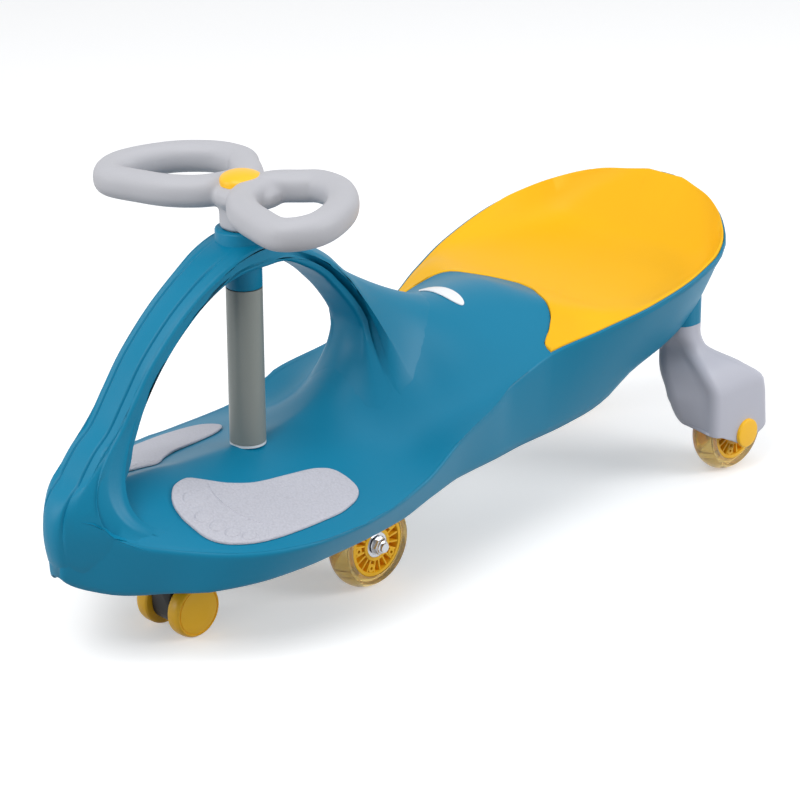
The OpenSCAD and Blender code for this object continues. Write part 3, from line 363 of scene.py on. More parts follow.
class Paint:
    """A material in the making."""

    def __init__(self, name: str) -> None:
        """Starts a material with one shader and Object coordinates."""
        self.material = bpy.data.materials.new(name)
        self.material.use_nodes = True
        self.tree = self.material.node_tree
        self.tree.nodes.clear()
        self.out = self.tree.nodes.new("ShaderNodeOutputMaterial")
        self.place = Socket(self, self.tree.nodes.new("ShaderNodeTexCoord").outputs["Object"])

    def node(self, kind: str, settings: dict[str, Any], sockets: dict[Any, Any], out: Any = 0) -> Socket:
        """Adds a node.

        Args:
            kind: the node's type.
            settings: its settings; a ramp's stops are a list of place and colour.
            sockets: values or links of its sockets.
            out: which output is wanted.

        Returns:
            The wanted output.
        """
        made = self.tree.nodes.new(kind)
        for name, value in settings.items():
            if name == "stops":
                ramp = made.color_ramp.elements
                while len(ramp) < len(value):
                    ramp.new(1)
                for stop, (where, colour) in zip(ramp, value):
                    stop.position, stop.color = where, colour
            else:
                setattr(made, name, value)
        for name, value in sockets.items():
            if isinstance(value, Socket):
                self.tree.links.new(value.source, made.inputs[name])
            else:
                made.inputs[name].default_value = value
        return Socket(self, made.outputs[out])

    def noise(self, scale: float, detail: float = 3.0) -> Socket:
        """A cloud pattern, from 0 to 1, with scale in waves per metre."""
        return self.node("ShaderNodeTexNoise", {}, {"Vector": self.place, "Scale": scale, "Detail": detail})

    def cells(self, scale: float) -> Socket:
        """Distance to the middle of the nearest of many small cells."""
        return self.node("ShaderNodeTexVoronoi", {}, {"Vector": self.place, "Scale": scale})

    def blend(self, mask: Socket, a: Row, b: Row) -> Socket:
        """Mixes two colours by a mask."""
        return self.node("ShaderNodeMix", {"data_type": "RGBA"}, {0: mask, 6: a, 7: b}, 2)

    def shades(self, mask: Socket, colour: Row, low: float, high: float) -> Socket:
        """Mixes two shades of a screen colour by a mask."""
        return self.blend(mask, tint(*colour, low), tint(*colour, high))

    def bump(self, height: Socket, depth: float) -> Socket:
        """Relief of that depth in metres."""
        return self.node("ShaderNodeBump", {}, {"Height": height, "Strength": 1.0, "Distance": depth})

    def shade(self, sockets: dict[str, Any]) -> bpy.types.Material:
        """Closes the material with a principled shader.

        Args:
            sockets: values or links of the shader's sockets.

        Returns:
            The finished material.
        """
        shader = self.node("ShaderNodeBsdfPrincipled", {}, sockets)
        self.tree.links.new(shader.source, self.out.inputs["Surface"])
        return self.material


def tint(red: float, green: float, blue: float, gain: float = 1.0) -> Row:
    """A colour from its screen values, 0 to 255.

    Args:
        red: screen red.
        green: screen green.
        blue: screen blue.
        gain: how much lighter or darker it is made.

    Returns:
        The colour in linear light, with alpha 1.
    """
    def linear(value: float) -> float:
        """Linear light of one screen value."""
        share = value / 255
        return share / 12.92 if share <= 0.04045 else ((share + 0.055) / 1.055) ** 2.4

    return (*(min(1.0, linear(v) * gain) for v in (red, green, blue)), 1.0)


@dataclass(frozen=True)
class Moulded:
    """Moulded plastic: faint flow marks in its colour, fine grain, and a soft change of gloss.

    Attributes:
        colour: screen colour.
        gloss: roughness, and how much it varies.
        grain: cells per metre of the grain, and its depth in millimetres.
        shine: level of the skin's own reflection.
        flow: waves per metre of the flow marks.
    """

    colour: Row
    gloss: Flat = (0.42, 0.1)
    grain: Flat = (900.0, 0.02)
    shine: float = 0.3
    flow: float = 9.0

    def make(self, name: str) -> bpy.types.Material:
        """Makes the material."""
        paint = Paint(name)
        marks = paint.noise(self.flow, 4)
        fine = paint.noise(self.grain[0], 2)
        return paint.shade({
            "Base Color": paint.shades(marks * 0.7 + fine * 0.3, self.colour, 0.93, 1.07),
            "Roughness": marks * self.gloss[1] + (self.gloss[0] - self.gloss[1] / 2),
            "Normal": paint.bump(fine, self.grain[1] * MM),
            "Specular IOR Level": self.shine,
        })


@dataclass(frozen=True)
class Pebbled:
    """Soft rubber with a pebbled tread, its colour darkened in the hollows between pebbles as painted shade.

    Attributes:
        colour: screen colour.
        scale: pebbles per metre.
        depth: depth of the pebbles in millimetres.
    """

    colour: Row
    scale: float = 520.0
    depth: float = 0.35

    def make(self, name: str) -> bpy.types.Material:
        """Makes the material."""
        paint = Paint(name)
        pebble = paint.cells(self.scale)
        marks = paint.noise(14, 4)
        # Colour: painted shade, darker towards the hollows between pebbles, plus cloud marks of random tone.
        return paint.shade({
            "Base Color": paint.shades(pebble * 0.8 + marks * 0.3, self.colour, 1.06, 0.86),
            "Roughness": 0.72 - pebble * 0.15,
            "Normal": paint.bump(1 - pebble, self.depth * MM),
        })


@dataclass(frozen=True)
class Clear:
    """Clear tinted plastic with faint swirls.

    Attributes:
        colour: screen colour of the tint.
        through: share of light that passes.
    """

    colour: Row
    through: float = 0.8

    def make(self, name: str) -> bpy.types.Material:
        """Makes the material."""
        paint = Paint(name)
        swirl = paint.noise(45, 3)
        return paint.shade({
            "Base Color": paint.shades(swirl, self.colour, 0.94, 1.06),
            "Roughness": swirl * 0.08 + 0.06,
            "IOR": 1.45,
            "Transmission Weight": self.through,
        })


@dataclass(frozen=True)
class Plated:
    """Plated steel with fine turning marks.

    Attributes:
        colour: screen colour.
        gloss: lowest roughness.
    """

    colour: Row
    gloss: float = 0.16

    def make(self, name: str) -> bpy.types.Material:
        """Makes the material."""
        paint = Paint(name)
        marks = paint.noise(260, 3)
        haze = paint.noise(35, 2)
        return paint.shade({
            "Base Color": paint.shades(haze, self.colour, 0.9, 1.05),
            "Roughness": marks * 0.12 + haze * 0.08 + self.gloss,
            "Metallic": 1.0,
            "Normal": paint.bump(marks, 0.01 * MM),
        })


class Finish(Enum):
    """The finishes of the car."""

    body_plastic = Moulded((0, 119, 154), (0.44, 0.08), (1100, 0.015), 0.25)
    seat_plastic = Moulded((244, 184, 20), (0.5, 0.08), (1300, 0.02), 0.2)
    grip_plastic = Moulded((181, 181, 186), (0.52, 0.1), (1500, 0.03), 0.3)
    leg_plastic = Moulded((184, 185, 196), (0.42, 0.08), (1200, 0.015), 0.35)
    pad_rubber = Pebbled((188, 188, 197))
    badge_plastic = Moulded((236, 238, 241), (0.25, 0.06), (1500, 0.005), 0.5)
    bush_plastic = Moulded((218, 220, 222), (0.4, 0.1))
    sleeve_plastic = Moulded((128, 133, 128), (0.36, 0.1), (1200, 0.02), 0.4)
    truck_plastic = Moulded((24, 25, 27), (0.48, 0.1), (1400, 0.03), 0.35)
    hub_plastic = Moulded((250, 190, 34), (0.36, 0.08), (1400, 0.01), 0.35)
    tyre_clear = Clear((236, 206, 120))
    light_module = Moulded((122, 86, 40), (0.35, 0.1), (900, 0.01))
    steel = Plated((196, 198, 202))

    def skin(self) -> bpy.types.Material:
        """The finish's material, made once."""
        name = f"{self.name}_finish"
        return bpy.data.materials.get(name) or self.value.make(name)


def dress(piece: bpy.types.Object, finish: Finish, body: str, *nodes: str) -> None:
    """Gives a piece its finish and the body it rides on.

    Args:
        piece: the new piece.
        finish: its finish.
        body: the body that it moves with.
        *nodes: solids that it stands for.
    """
    piece.data.materials.clear()
    piece.data.materials.append(finish.skin())
    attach(piece, body)
    finish.name
    if nodes:
        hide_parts(*nodes)
    LOG.info("%s rides on %s", piece.name, body)


@dataclass(frozen=True)
class BodyLines:
    """The body's lines in millimetres: those of the solids, with a finer nose, tongue and lip."""

    nose: float = 371.0
    length: float = 733.0
    half: float = 133.0
    height: float = 256.0
    # Shares of half and of height, by share of the length.
    plan: Curve = Curve((
        (0, 0.012), (0.0006, 0.036), (0.002, 0.07), (0.0055, 0.106), (0.011, 0.142), (0.0205, 0.194),
        (0.041, 0.305), (0.0614, 0.418), (0.082, 0.53), (0.0952, 0.604), (0.137, 0.81), (0.184, 0.935),
        (0.232, 0.99), (0.279, 1), (0.334, 0.972), (0.394, 0.917), (0.47, 0.853), (0.533, 0.786),
        (0.574, 0.732), (0.622, 0.735), (0.701, 0.866), (0.775, 0.972), (0.833, 1), (0.879, 0.975),
        (0.914, 0.9), (0.952, 0.705), (0.978, 0.46), (0.993, 0.23), (1, 0.06),
    ))
    crease: Curve = Curve((
        (0, 0.535), (0.004, 0.545), (0.012, 0.562), (0.028, 0.527), (0.042, 0.475), (0.067, 0.443),
        (0.128, 0.422), (0.172, 0.416), (0.232, 0.414), (0.304, 0.419), (0.394, 0.45), (0.47, 0.54),
        (0.533, 0.583), (0.574, 0.622), (0.622, 0.664), (0.701, 0.727), (0.775, 0.78), (0.833, 0.823),
        (0.879, 0.862), (0.914, 0.895), (0.952, 0.943), (0.978, 0.978), (0.993, 0.992), (1, 1),
    ))
    spine: Curve = Curve((
        (0, 0.535), (0.006, 0.56), (0.02, 0.586), (0.04, 0.586), (0.09, 0.582), (0.141, 0.574),
        (0.191, 0.557), (0.279, 0.553), (0.323, 0.562), (0.36, 0.586), (0.387, 0.625), (0.414, 0.695),
        (0.434, 0.77), (0.454, 0.832), (0.484, 0.882), (0.51, 0.878), (0.54, 0.86), (0.57, 0.842),
        (0.6, 0.832), (0.638, 0.828), (0.66, 0.824), (0.68, 0.81), (0.7, 0.785), (0.737, 0.764),
        (0.828, 0.756), (0.889, 0.768), (0.92, 0.788), (0.933, 0.806), (0.942, 0.834), (0.955, 0.878),
        (0.97, 0.922), (0.984, 0.962), (0.993, 0.988), (1, 1),
    ))
    low_plan: Curve = Curve((
        (0, 0.01), (0.0006, 0.03), (0.002, 0.055), (0.0055, 0.07), (0.011, 0.09), (0.0205, 0.135),
        (0.041, 0.25), (0.0614, 0.357), (0.082, 0.465), (0.114, 0.68), (0.182, 0.855), (0.235, 0.895),
        (0.292, 0.89), (0.365, 0.853), (0.428, 0.815), (0.477, 0.767), (0.54, 0.737), (0.596, 0.695),
        (0.644, 0.68), (0.709, 0.665), (0.749, 0.66), (0.787, 0.7), (0.837, 0.735), (0.894, 0.69),
        (0.952, 0.53), (0.973, 0.41), (0.987, 0.27), (0.996, 0.14), (1, 0.05),
    ))
    low_edge: Curve = Curve((
        (0, 0.345), (0.005, 0.326), (0.012, 0.31), (0.0205, 0.298), (0.03, 0.289), (0.041, 0.281),
        (0.055, 0.277), (0.114, 0.294), (0.182, 0.311), (0.235, 0.32), (0.365, 0.33), (0.428, 0.36),
        (0.477, 0.371), (0.54, 0.373), (0.644, 0.373), (0.709, 0.383), (0.749, 0.406), (0.787, 0.484),
        (0.837, 0.545), (0.894, 0.594), (0.952, 0.66), (0.973, 0.75), (0.987, 0.86), (0.996, 0.945),
        (1, 0.975),
    ))
    # How far a section is the hump's or the seat's, and the power of the hump's bell.
    hump: Curve = Curve(((0, 0), (0.32, 0), (0.45, 1), (0.66, 1), (0.72, 0), (1, 0)))
    bowl: Curve = Curve(((0, 0), (0.66, 0), (0.72, 1), (1, 1)))
    bell: Curve = Curve((
        (0, 1), (0.33, 1), (0.42, 2.4), (0.48, 2), (0.53, 1.15), (0.58, 0.75), (0.66, 0.6), (1, 0.6),
    ))
    # How far the tongue reaches back, by share of the way out to the seat's corners.
    tongue: Curve = Curve((
        (0, 1), (0.2, 0.92), (0.423, 0.715), (0.645, 0.52), (0.763, 0.385), (0.833, 0.24), (0.88, 0.08),
        (0.92, 0.01), (1, 0),
    ))
    tent: Flat = (0.9, 0.06)  # power of the deck's slope, and its rounding
    bowl_power: float = 10.0
    bowl_rim: float = 0.95
    bulge: float = 0.06
    seat_front: float = 467.0
    tongue_len: float = 63.0
    lip: float = 2.6
    nose_share: float = 0.2

    def x(self, u: float) -> float:
        """Place of a share of the body's length."""
        return self.nose - self.length * u

    def u(self, x: float) -> float:
        """Share of the body's length at a place."""
        return clamp((self.nose - x) / self.length)

    def wide(self, u: float) -> float:
        """Half width at the crease."""
        return self.half * self.plan.at(u)

    def high(self, u: float) -> float:
        """Height of the crease."""
        return self.height * self.crease.at(u)

    def low_wide(self, u: float) -> float:
        """Half width at the lower edge."""
        return self.half * self.low_plan.at(u)

    def low(self, u: float) -> float:
        """Height of the lower edge."""
        return self.height * self.low_edge.at(u)

    def _soft(self, s: float) -> float:
        """Distance from the spine, rounded close to it."""
        k = self.tent[1]
        return (math.sqrt(s * s + k * k) - k) / (math.sqrt(1 + k * k) - k)

    def top(self, x: float, y: float) -> float:
        """Height of the body's skin.

        Args:
            x: place along the car.
            y: place across the car.

        Returns:
            The height above the floor, level past the crease.
        """
        u = self.u(x)
        s = min(1.0, abs(y) / self.wide(u))
        hump, bowl = self.hump.at(u), self.bowl.at(u)
        share = (
            (1 - hump - bowl) * (1 - self._soft(s) ** self.tent[0])
            + hump * ((1 + math.cos(math.pi * s)) / 2) ** self.bell.at(u)
            + bowl * (1 - min(1.0, s / self.bowl_rim) ** self.bowl_power)
        )
        return self.high(u) + (self.height * self.spine.at(u) - self.high(u)) * share

    def front_wall(self, y: float, z: float) -> float:
        """Place of the nose's front wall.

        Args:
            y: place across the car.
            z: height.

        Returns:
            The place along the car.
        """
        near, far = 0.0, self.nose_share
        for _ in range(30):
            u = (near + far) / 2
            share = clamp((z - self.low(u)) / (self.high(u) - self.low(u)))
            if self.low_wide(u) + (self.wide(u) - self.low_wide(u)) * share < abs(y):
                near = u
            else:
                far = u
        return self.x(near)

    @property
    def corner_x(self) -> float:
        """Place of the seat's front corners."""
        return self.nose - self.seat_front

    @property
    def corner_y(self) -> float:
        """Place of the seat's front corners across the car."""
        return self.wide(self.u(self.corner_x)) - self.lip

    def tongue_share(self, y: float) -> float:
        """How far the tongue reaches back at a place across the car, from 1 in the middle to 0."""
        return self.tongue.at(min(1.0, abs(y) / self.corner_y))

    def seat_outline(self, inset: float) -> list[Flat]:
        """The seat's outline, drawn in by a gap.

        Args:
            inset: the gap to the body's lip.

        Returns:
            Places along and across the car, as a closed ring.
        """
        front_steps, side_steps, back_steps = 48, 70, 5
        back = self.x(1) + self.lip + inset
        half = []
        for i in range(front_steps + 1):
            y = (self.corner_y - inset) * i / front_steps
            half.append((self.corner_x - self.tongue_len * self.tongue_share(y) - inset, y))
        for i in range(1, side_steps + 1):
            share = math.sin(math.pi / 2 * i / side_steps)
            x = self.corner_x - inset + (back - self.corner_x + inset) * share
            half.append((x, self.wide(self.u(x)) - self.lip - inset))
        end_y = half[-1][1]
        half += [(back, end_y * (1 - i / back_steps)) for i in range(1, back_steps + 1)]
        return half + [(x, -y) for x, y in half[-2:0:-1]]


@dataclass
class BodyShell:
    """Deck, hump and tail in one hollow moulding, with ribs under the deck."""

    lines: BodyLines
    wall: float = 2.2
    crease_round: float = 3.5
    lip_blend: float = 60.0
    recess: float = 3.6
    seam: float = 0.35
    nose_drop: Flat = (20.0, 34.0)  # depth, and the half width where it ends
    tail_drop: Spot = (2.2, -260.0, 40.0)  # depth, start and length
    step: float = 8.0
    nose_gaps: Row = (0.8, 1.5, 3, 5, 8, 11.5, 15.5, 20, 25, 30.5, 36.5, 43, 50, 58, 66)
    tail_gaps: Row = (
        58, 50, 43, 36.5, 30.5, 25.5, 21.5, 18.5, 16, 13.8, 11.8, 10, 8.5, 7.2, 6, 5, 4.1, 3.3,
    )
    lip_shares: Row = (0.88, 0.72, 0.54, 0.36, 0.2, 0.08, 0)
    # Reach and count of the rows ahead of the seat's edge, then behind it.
    tongue_rows: tuple[float, int, float, int] = (70.0, 12, 90.0, 14)
    top_shares: Row = (
        0, 0.012, 0.03, 0.055, 0.09, 0.135, 0.19, 0.25, 0.32, 0.39, 0.46, 0.53, 0.6, 0.66, 0.72, 0.78, 0.84,
        0.9, 0.95, 1,
    )
    side_shares: Row = (0.9, 0.76, 0.61, 0.46, 0.31, 0.19, 0.095)
    column: float = 166.0
    rib_angles: Row = (30, 62, 118, 150)
    rib_start: float = 24.0
    rib_len: float = 70.0
    rib: Spot = (2.0, 3.0, 11.5)  # half the thickness, depth of the top and of the lower edge
    boss: tuple[Flat, ...] = ((12.3, 126.6), (14.4, 126.6), (15, 127.2), (15, 138.5), (12.3, 138.5))

    def stations(self) -> list[tuple[float, float, bool]]:
        """Rows from nose to tail.

        Returns:
            Each row's place at the edge and in the middle, and whether the seat is sunk there.
        """
        line = self.lines
        lead, ahead, run, behind = self.tongue_rows
        tip, tail = line.corner_x - line.tongue_len, line.x(1)
        start, end = line.corner_x + lead, tip - run
        rows = []

        def plain(xs: Iterable[float], sunk: bool) -> None:
            """Adds straight rows."""
            rows.extend((x, x, sunk) for x in xs)

        def stride(x: float, stop: float) -> Iterable[float]:
            """Places a step apart."""
            while x > stop:
                yield x
                x -= self.step

        def fan(near: Flat, far: Flat, count: int, sunk: bool) -> None:
            """Adds rows that go over from one pair of places to another."""
            rows.extend((*(a + (b - a) * i / count for a, b in zip(near, far)), sunk) for i in range(count))

        plain((line.nose - gap for gap in self.nose_gaps), False)
        plain(stride(line.nose - self.nose_gaps[-1] - self.step, start + self.step / 2), False)
        fan((start, start), (line.corner_x, tip), ahead, False)
        rows.append((line.corner_x + self.seam, tip + self.seam, False))
        fan((line.corner_x, tip), (end, end), behind, True)
        plain(stride(end, tail + self.tail_gaps[0] + self.step), True)
        plain((tail + gap for gap in (*self.tail_gaps, line.lip)), True)
        plain((tail + line.lip * share for share in self.lip_shares), False)
        return rows

    def row(self, edge_x: float, middle_x: float, sunk: bool) -> list[Spot]:
        """One row over the body from its left lower edge to its right one.

        Args:
            edge_x: place of the row's ends.
            middle_x: place of its middle.
            sunk: whether the seat's bed is lower there.

        Returns:
            The row's places.
        """
        line = self.lines
        u = line.u(edge_x)
        wide, high, low_wide, low = line.wide(u), line.high(u), line.low_wide(u), line.low(u)
        lip = min(line.lip, 0.3 * wide)
        if edge_x > 0:
            drop, until = self.nose_drop
            sink = drop * max(0.0, 1 - wide / until)
        else:
            drop, begin, length = self.tail_drop
            sink = drop * clamp((begin - edge_x) / length)
        high -= sink
        plump = clamp((edge_x - line.corner_x) / self.lip_blend)
        curl = 0.8 * lip + (self.crease_round - 0.8 * line.lip) * plump
        curl = min(curl, 0.2 * wide, 0.3 * (high - low))
        upper = 1 - curl / (high - low)

        def over(y: float, depth: float) -> Spot:
            """A place on top of the body."""
            x = edge_x + (middle_x - edge_x) * line.tongue_share(y)
            along = (line.top(x + 1, y) - line.top(x - 1, y)) / 2
            across = (line.top(x, y + 1) - line.top(x, y - 1)) / 2
            return (x, y, line.top(x, y) - sink - depth * min(4.0, math.hypot(1, along, across)))

        def beside(s: float) -> Spot:
            """A place on the side, from the lower edge to the crease."""
            out = line.bulge * (high - low) * s * (1 - s)
            return (edge_x, low_wide + (wide - low_wide) * s + out, low + (high - low) * s)

        half = [over(share * (wide - lip), self.recess if sunk else 0) for share in self.top_shares]
        half.append(over(wide - lip + min(self.seam, 0.1 * lip), 0))
        a, b = over(wide - curl, 0), beside(upper)
        half.extend(bend(a, (edge_x, wide, high), b, i / 4) for i in range(5))
        half.extend(beside(s * upper) for s in self.side_shares)
        half.append((edge_x, low_wide - 0.35, low + 0.35))
        half.append((edge_x, max(1.0, low_wide - 1.2), low))
        return half[::-1] + [(x, -y, z) for x, y, z in half[1:]]

    def build(self) -> None:
        """Builds the moulding."""
        form = Form()
        form.loft([self.row(*station) for station in self.stations()], closed=False)
        skin = form.settle("body_skin", 62)
        if sum(face.normal.z * face.area for face in skin.data.polygons) < 0:
            skin.data.flip_normals()
        thicken(skin, self.wall)
        dress(skin, Finish.body_plastic, "chassis", "body_shell")

    def ribs(self) -> None:
        """Builds the ribs and the bush's boss under the deck."""
        form = Form()
        thick, upper, lower = self.rib
        for side in Side:
            for angle in self.rib_angles:
                turn = math.radians(angle * side.value)
                dx, dy = -math.sin(turn) * thick, math.cos(turn) * thick
                rows = []
                for i in range(9):
                    reach = self.rib_start + self.rib_len * i / 8
                    x, y = self.column + reach * math.cos(turn), reach * math.sin(turn)
                    z = self.lines.top(x, y)
                    rows.append([
                        (x + dx, y + dy, z - upper), (x + dx, y + dy, z - lower),
                        (x - dx, y - dy, z - lower), (x - dx, y - dy, z - upper),
                    ])
                form.loft(rows)
        form.lathe(self.boss, (self.column, 0, 0), Axis.UPRIGHT, 48, closed=True)
        dress(form.settle("deck_ribs"), Finish.body_plastic, "chassis")


@dataclass
class Arch:
    """The arch over the column: a grooved band in front, and a leg with a channel in each side behind."""

    lines: BodyLines
    column: float = 166.0
    top: float = 320.0
    width: float = 42.0
    thick: float = 16.0
    # Place and height as shares of top, then shares of width and thick.
    rows: tuple[Row, ...] = (
        (0.594, 0.4, 1.1, 2.3), (0.497, 0.532, 1.05, 2.2), (0.452, 0.6, 1, 1.4), (0.406, 0.678, 1, 1.06),
        (0.347, 0.76, 1, 1), (0.256, 0.85, 1.03, 0.95), (0.159, 0.918, 1.1, 0.95), (0.081, 0.953, 1.24, 1.1),
        (0, 0.965, 1.34, 1.3), (-0.082, 0.957, 1.29, 1.2), (-0.175, 0.911, 1.2, 1.16),
        (-0.234, 0.872, 1.16, 1.18), (-0.272, 0.836, 1.15, 1.18), (-0.317, 0.79, 1.16, 1.25),
        (-0.3625, 0.728, 1.18, 1.25), (-0.3855, 0.673, 1.2, 1.22), (-0.394, 0.6, 1.22, 1.12),
        (-0.39, 0.5, 1.24, 1.1),
    )
    # By row: drop of the outer face's edges, and depths of grooves, channels and taper.
    shoulder: Curve = Curve((
        (0, 3), (2, 3), (5, 3.2), (7, 2.6), (8, 2), (9.5, 4), (11, 5), (13, 5), (17, 4),
    ))
    groove: Curve = Curve(((0, 1.8), (5.6, 1.8), (7, 0.3), (7.6, 0), (17, 0)))
    channel: Curve = Curve(((0, 0), (8.7, 0), (10, 5), (11.5, 9), (14, 10), (15.5, 6), (16.5, 0), (17, 0)))
    taper: Curve = Curve(((0, 0), (8.7, 0), (11, 3), (13, 5.5), (17, 5.5)))
    head: float = 8.0  # row of the head, where the legs meet
    brow_bend: float = 24.0
    brow_z: float = 134.0  # height up to which the brow hugs the nose's front wall
    brow_out: float = 0.7
    chin: float = 5.0  # height of the brow's end over the lower edge
    toe: float = 1.9  # row at which the front leg's edges leave the arch
    bow: Flat = (356.0, 158.0)  # place and height of the corner where they bend
    # Where the front edges run along the crease, as shares of the length, and how far they stand out there.
    rim_run: tuple[Flat, ...] = (
        (0.034, 0.5), (0.039, 0.1), (0.044, -0.2), (0.05, -0.5), (0.056, -0.9), (0.062, -1.4), (0.068, -2),
    )
    fillets: tuple[Flat, Flat] = ((60.0, 42.0), (20.0, 26.0))  # inner face and side, front and rear
    splay: float = 35.0  # degrees by which the front fillets lean back
    margin: Flat = (4.0, 6.0)  # least distance of a fillet from the crease and from the nose
    heel: float = 12.4  # row at which the rear leg's outer face leaves the arch
    # Place and height of the rear fan's bow, and place of its end: in the middle, and fan_half from it.
    fan: tuple[Spot, Spot] = ((2.0, 228.0, -40.0), (33.0, 213.0, 26.0))
    fan_half: float = 24.0
    samples: int = 84
    fillet: int = 16
    sleeves: tuple[tuple[int, tuple[Flat, ...]], ...] = (
        (64, ((12.4, 306), (22.5, 306), (22.5, 324.4), (22.1, 325.5), (21, 326), (15.6, 326), (15.6, 324),
              (12.4, 324))),
        (48, ((12.4, 276), (14.2, 276), (15, 276.8), (15, 312), (12.4, 312))),
    )

    @property
    def shares(self) -> list[float]:
        """Places along a foot, the last one left out for its sunken end."""
        return [i / self.fillet for i in range(1, self.fillet)]

    def row(self, k: float) -> Row:
        """The arch's row at a place along it, from 0 at the nose to the last row's number."""
        i = min(int(k), len(self.rows) - 2)
        pick = [self.rows[min(len(self.rows) - 1, max(0, i + d))] for d in (-1, 0, 1, 2)]
        return drift(*pick, k - i)

    @staticmethod
    def furrow(f: float) -> float:
        """Share of a groove's depth at a share of the half width."""
        return max(0.0, 1 - abs(f - 0.5) / 0.07)

    def half_ring(self, k: float) -> list[Spot]:
        """Half of the arch's section.

        Args:
            k: place along the arch.

        Returns:
            Place across, place outwards, and the angle that the point faces: 0 out, 90 sideways, 180 in.
        """
        _, _, wide_share, thick_share = self.row(k)
        w, t = self.width * wide_share / 2, self.thick * thick_share / 2
        drop, groove = self.shoulder.at(k), self.groove.at(k)
        channel, taper = self.channel.at(k), self.taper.at(k)
        curl, edge_curl = min(4.0, 0.4 * (2 * t - drop)), min(2.4, 0.3 * (2 * t - drop))

        def outer(f: float) -> float:
            """How far out the outer face lies at a share of the half width."""
            slope = drop * max(0.0, (f - 0.5) / 0.5) ** 1.15
            return t - slope - 0.6 * min(1.0, f / 0.5) ** 2 - groove * self.furrow(f)

        def corner(a: Flat, b: Flat, c: Flat, facing: float) -> None:
            """Adds a rounded corner that turns by 90 degrees."""
            points.extend((*bend(a, b, c, i / 4), facing + 90 * i / 4) for i in range(5))

        across = (0, 0.16, 0.32, 0.4, 0.43, 0.465, 0.5, 0.535, 0.57, 0.64, 0.74, 0.84)
        points = [(w * f, outer(f), 0.0) for f in across]
        edge = outer(1)
        upper, lower = edge - edge_curl, curl - t
        corner((w - edge_curl, outer(1 - edge_curl / w)), (w, edge), (w, upper), 0)
        for share, sunk in ((0.06, 0.1), (0.26, 0.45), (0.46, 0.8), (0.66, 1), (0.72, 0.96), (0.76, 0)):
            points.append((w - taper * share - channel * sunk, upper + (lower - upper) * share, 90.0))
        w -= taper
        corner((w, lower), (w, -t), (w - curl, -t), 90)
        return points + [(w * f, -t, 180.0) for f in (0.6, 0.3, 0)]

    def spot(self, strand: Strand, k: float) -> Spot:
        """A point of the arch.

        Args:
            strand: line of the arch.
            k: place along the arch.

        Returns:
            Its place.
        """
        j, sign = strand
        last = len(self.rows) - 1
        here, ahead, behind = self.row(k), self.row(min(last, k + 0.25)), self.row(max(0, k - 0.25))
        run = heading(behind, ahead)
        y, out, _ = self.half_ring(k)[j]
        return (self.column + self.top * here[0] + run.y * out, sign * y, self.top * here[1] - run.x * out)

    def pierce(self, strand: Strand, front: bool) -> float:
        """Where a line of the arch goes into the body's skin.

        Args:
            strand: line of the arch.
            front: whether it is the front leg's.

        Returns:
            The first place under the skin, outwards from the head.
        """
        step, count = (-0.04, 200) if front else (0.04, 226)
        for i in range(count):
            k = self.head + step * i
            x, y, z = self.spot(strand, k)
            if z <= self.lines.top(x, y):
                break
        return k

    def land(self, start: Spot, bow: Spot, end: Flat, far: Flat, sunk: float = 0.8) -> list[Spot]:
        """A bend from the arch on to the body's skin.

        Args:
            start: where it leaves the arch.
            bow: its corner.
            end: where it reaches the skin.
            far: where its last point lies.
            sunk: how far that is under the skin.

        Returns:
            The bend's places.
        """
        top = self.lines.top
        path = [bend(start, bow, (*end, top(*end)), s) for s in self.shares]
        return path + [(*far, top(*far) - sunk)]

    def foot(self, strand: Strand, front: bool) -> Foot:
        """The lower end of a line of the arch, run out on to the body.

        Args:
            strand: line of the arch.
            front: whether it is the front leg's.

        Returns:
            Where the line leaves the arch, and the rest of it.
        """
        j = strand[0]
        if front and EDGE_AT <= j < SIDE_AT:
            return self.rim(strand)
        if front and SIDE_AT <= j < INNER_AT:
            return self.flank(strand)
        if j < SIDE_AT - 1:
            return self.brow(strand) if front else self.crest(strand)
        return self.round_off(strand, front)

    def round_off(self, strand: Strand, front: bool) -> Foot:
        """A leg's side or inner face, rounded on to the body.

        Args:
            strand: line of the arch.
            front: whether it is the front leg's.

        Returns:
            Where the line leaves the arch, and the rest of it.
        """
        line, (j, sign) = self.lines, strand
        facing = math.radians(self.half_ring(3 if front else 13)[j][2])
        cut = self.pierce(strand, front)
        p = self.spot(strand, cut)
        turn = facing + math.radians(self.splay) * math.sin(facing) if front else math.pi - facing
        inner, side = self.fillets[0 if front else 1]
        size = inner * max(0.0, -math.cos(facing)) + side * math.sin(facing) ** 2
        for _ in range(40):
            way = (math.cos(turn), sign * math.sin(turn))
            end = (p[0] + way[0] * size, p[1] + way[1] * size)
            room = line.wide(line.u(end[0])) - self.margin[0]
            if abs(end[1]) < room and end[0] < line.nose - self.margin[1]:
                break
            if front and turn < math.pi:
                turn = min(math.pi, turn + 0.12)
            else:
                size *= 0.85
        leave = cut
        step = 0.03 if front else -0.03
        while math.dist(self.spot(strand, leave), p) < size and 1.2 < leave + step < 16.5:
            leave += step
        far = (end[0] + way[0] * 1.5, end[1] + way[1] * 1.5)
        return leave, self.land(self.spot(strand, leave), p, end, far)

    def brow(self, strand: Strand) -> Foot:
        """The front leg's outer face, bent softly down into the nose's front wall.

        Args:
            strand: line of the arch.

        Returns:
            Where the line leaves the arch, and the rest of it.
        """
        line = self.lines
        low, high = self.spot(strand, 0.5), self.spot(strand, 1.5)
        y = low[1]
        sunk = self.groove.at(1) * self.furrow(abs(y) / (self.width * 0.5 * self.row(0.5)[2]))
        wall = line.front_wall(y, self.brow_z) + self.brow_out - sunk
        corner = (wall, y, low[2] + (high[2] - low[2]) / (high[0] - low[0]) * (wall - low[0]))
        leave = 0.2
        while math.dist(self.spot(strand, leave), corner) < self.brow_bend:
            leave += 0.03
        chin = line.low(line.u(wall)) + self.chin
        start, end = self.spot(strand, leave), (line.front_wall(y, chin) - 0.3, y, chin)

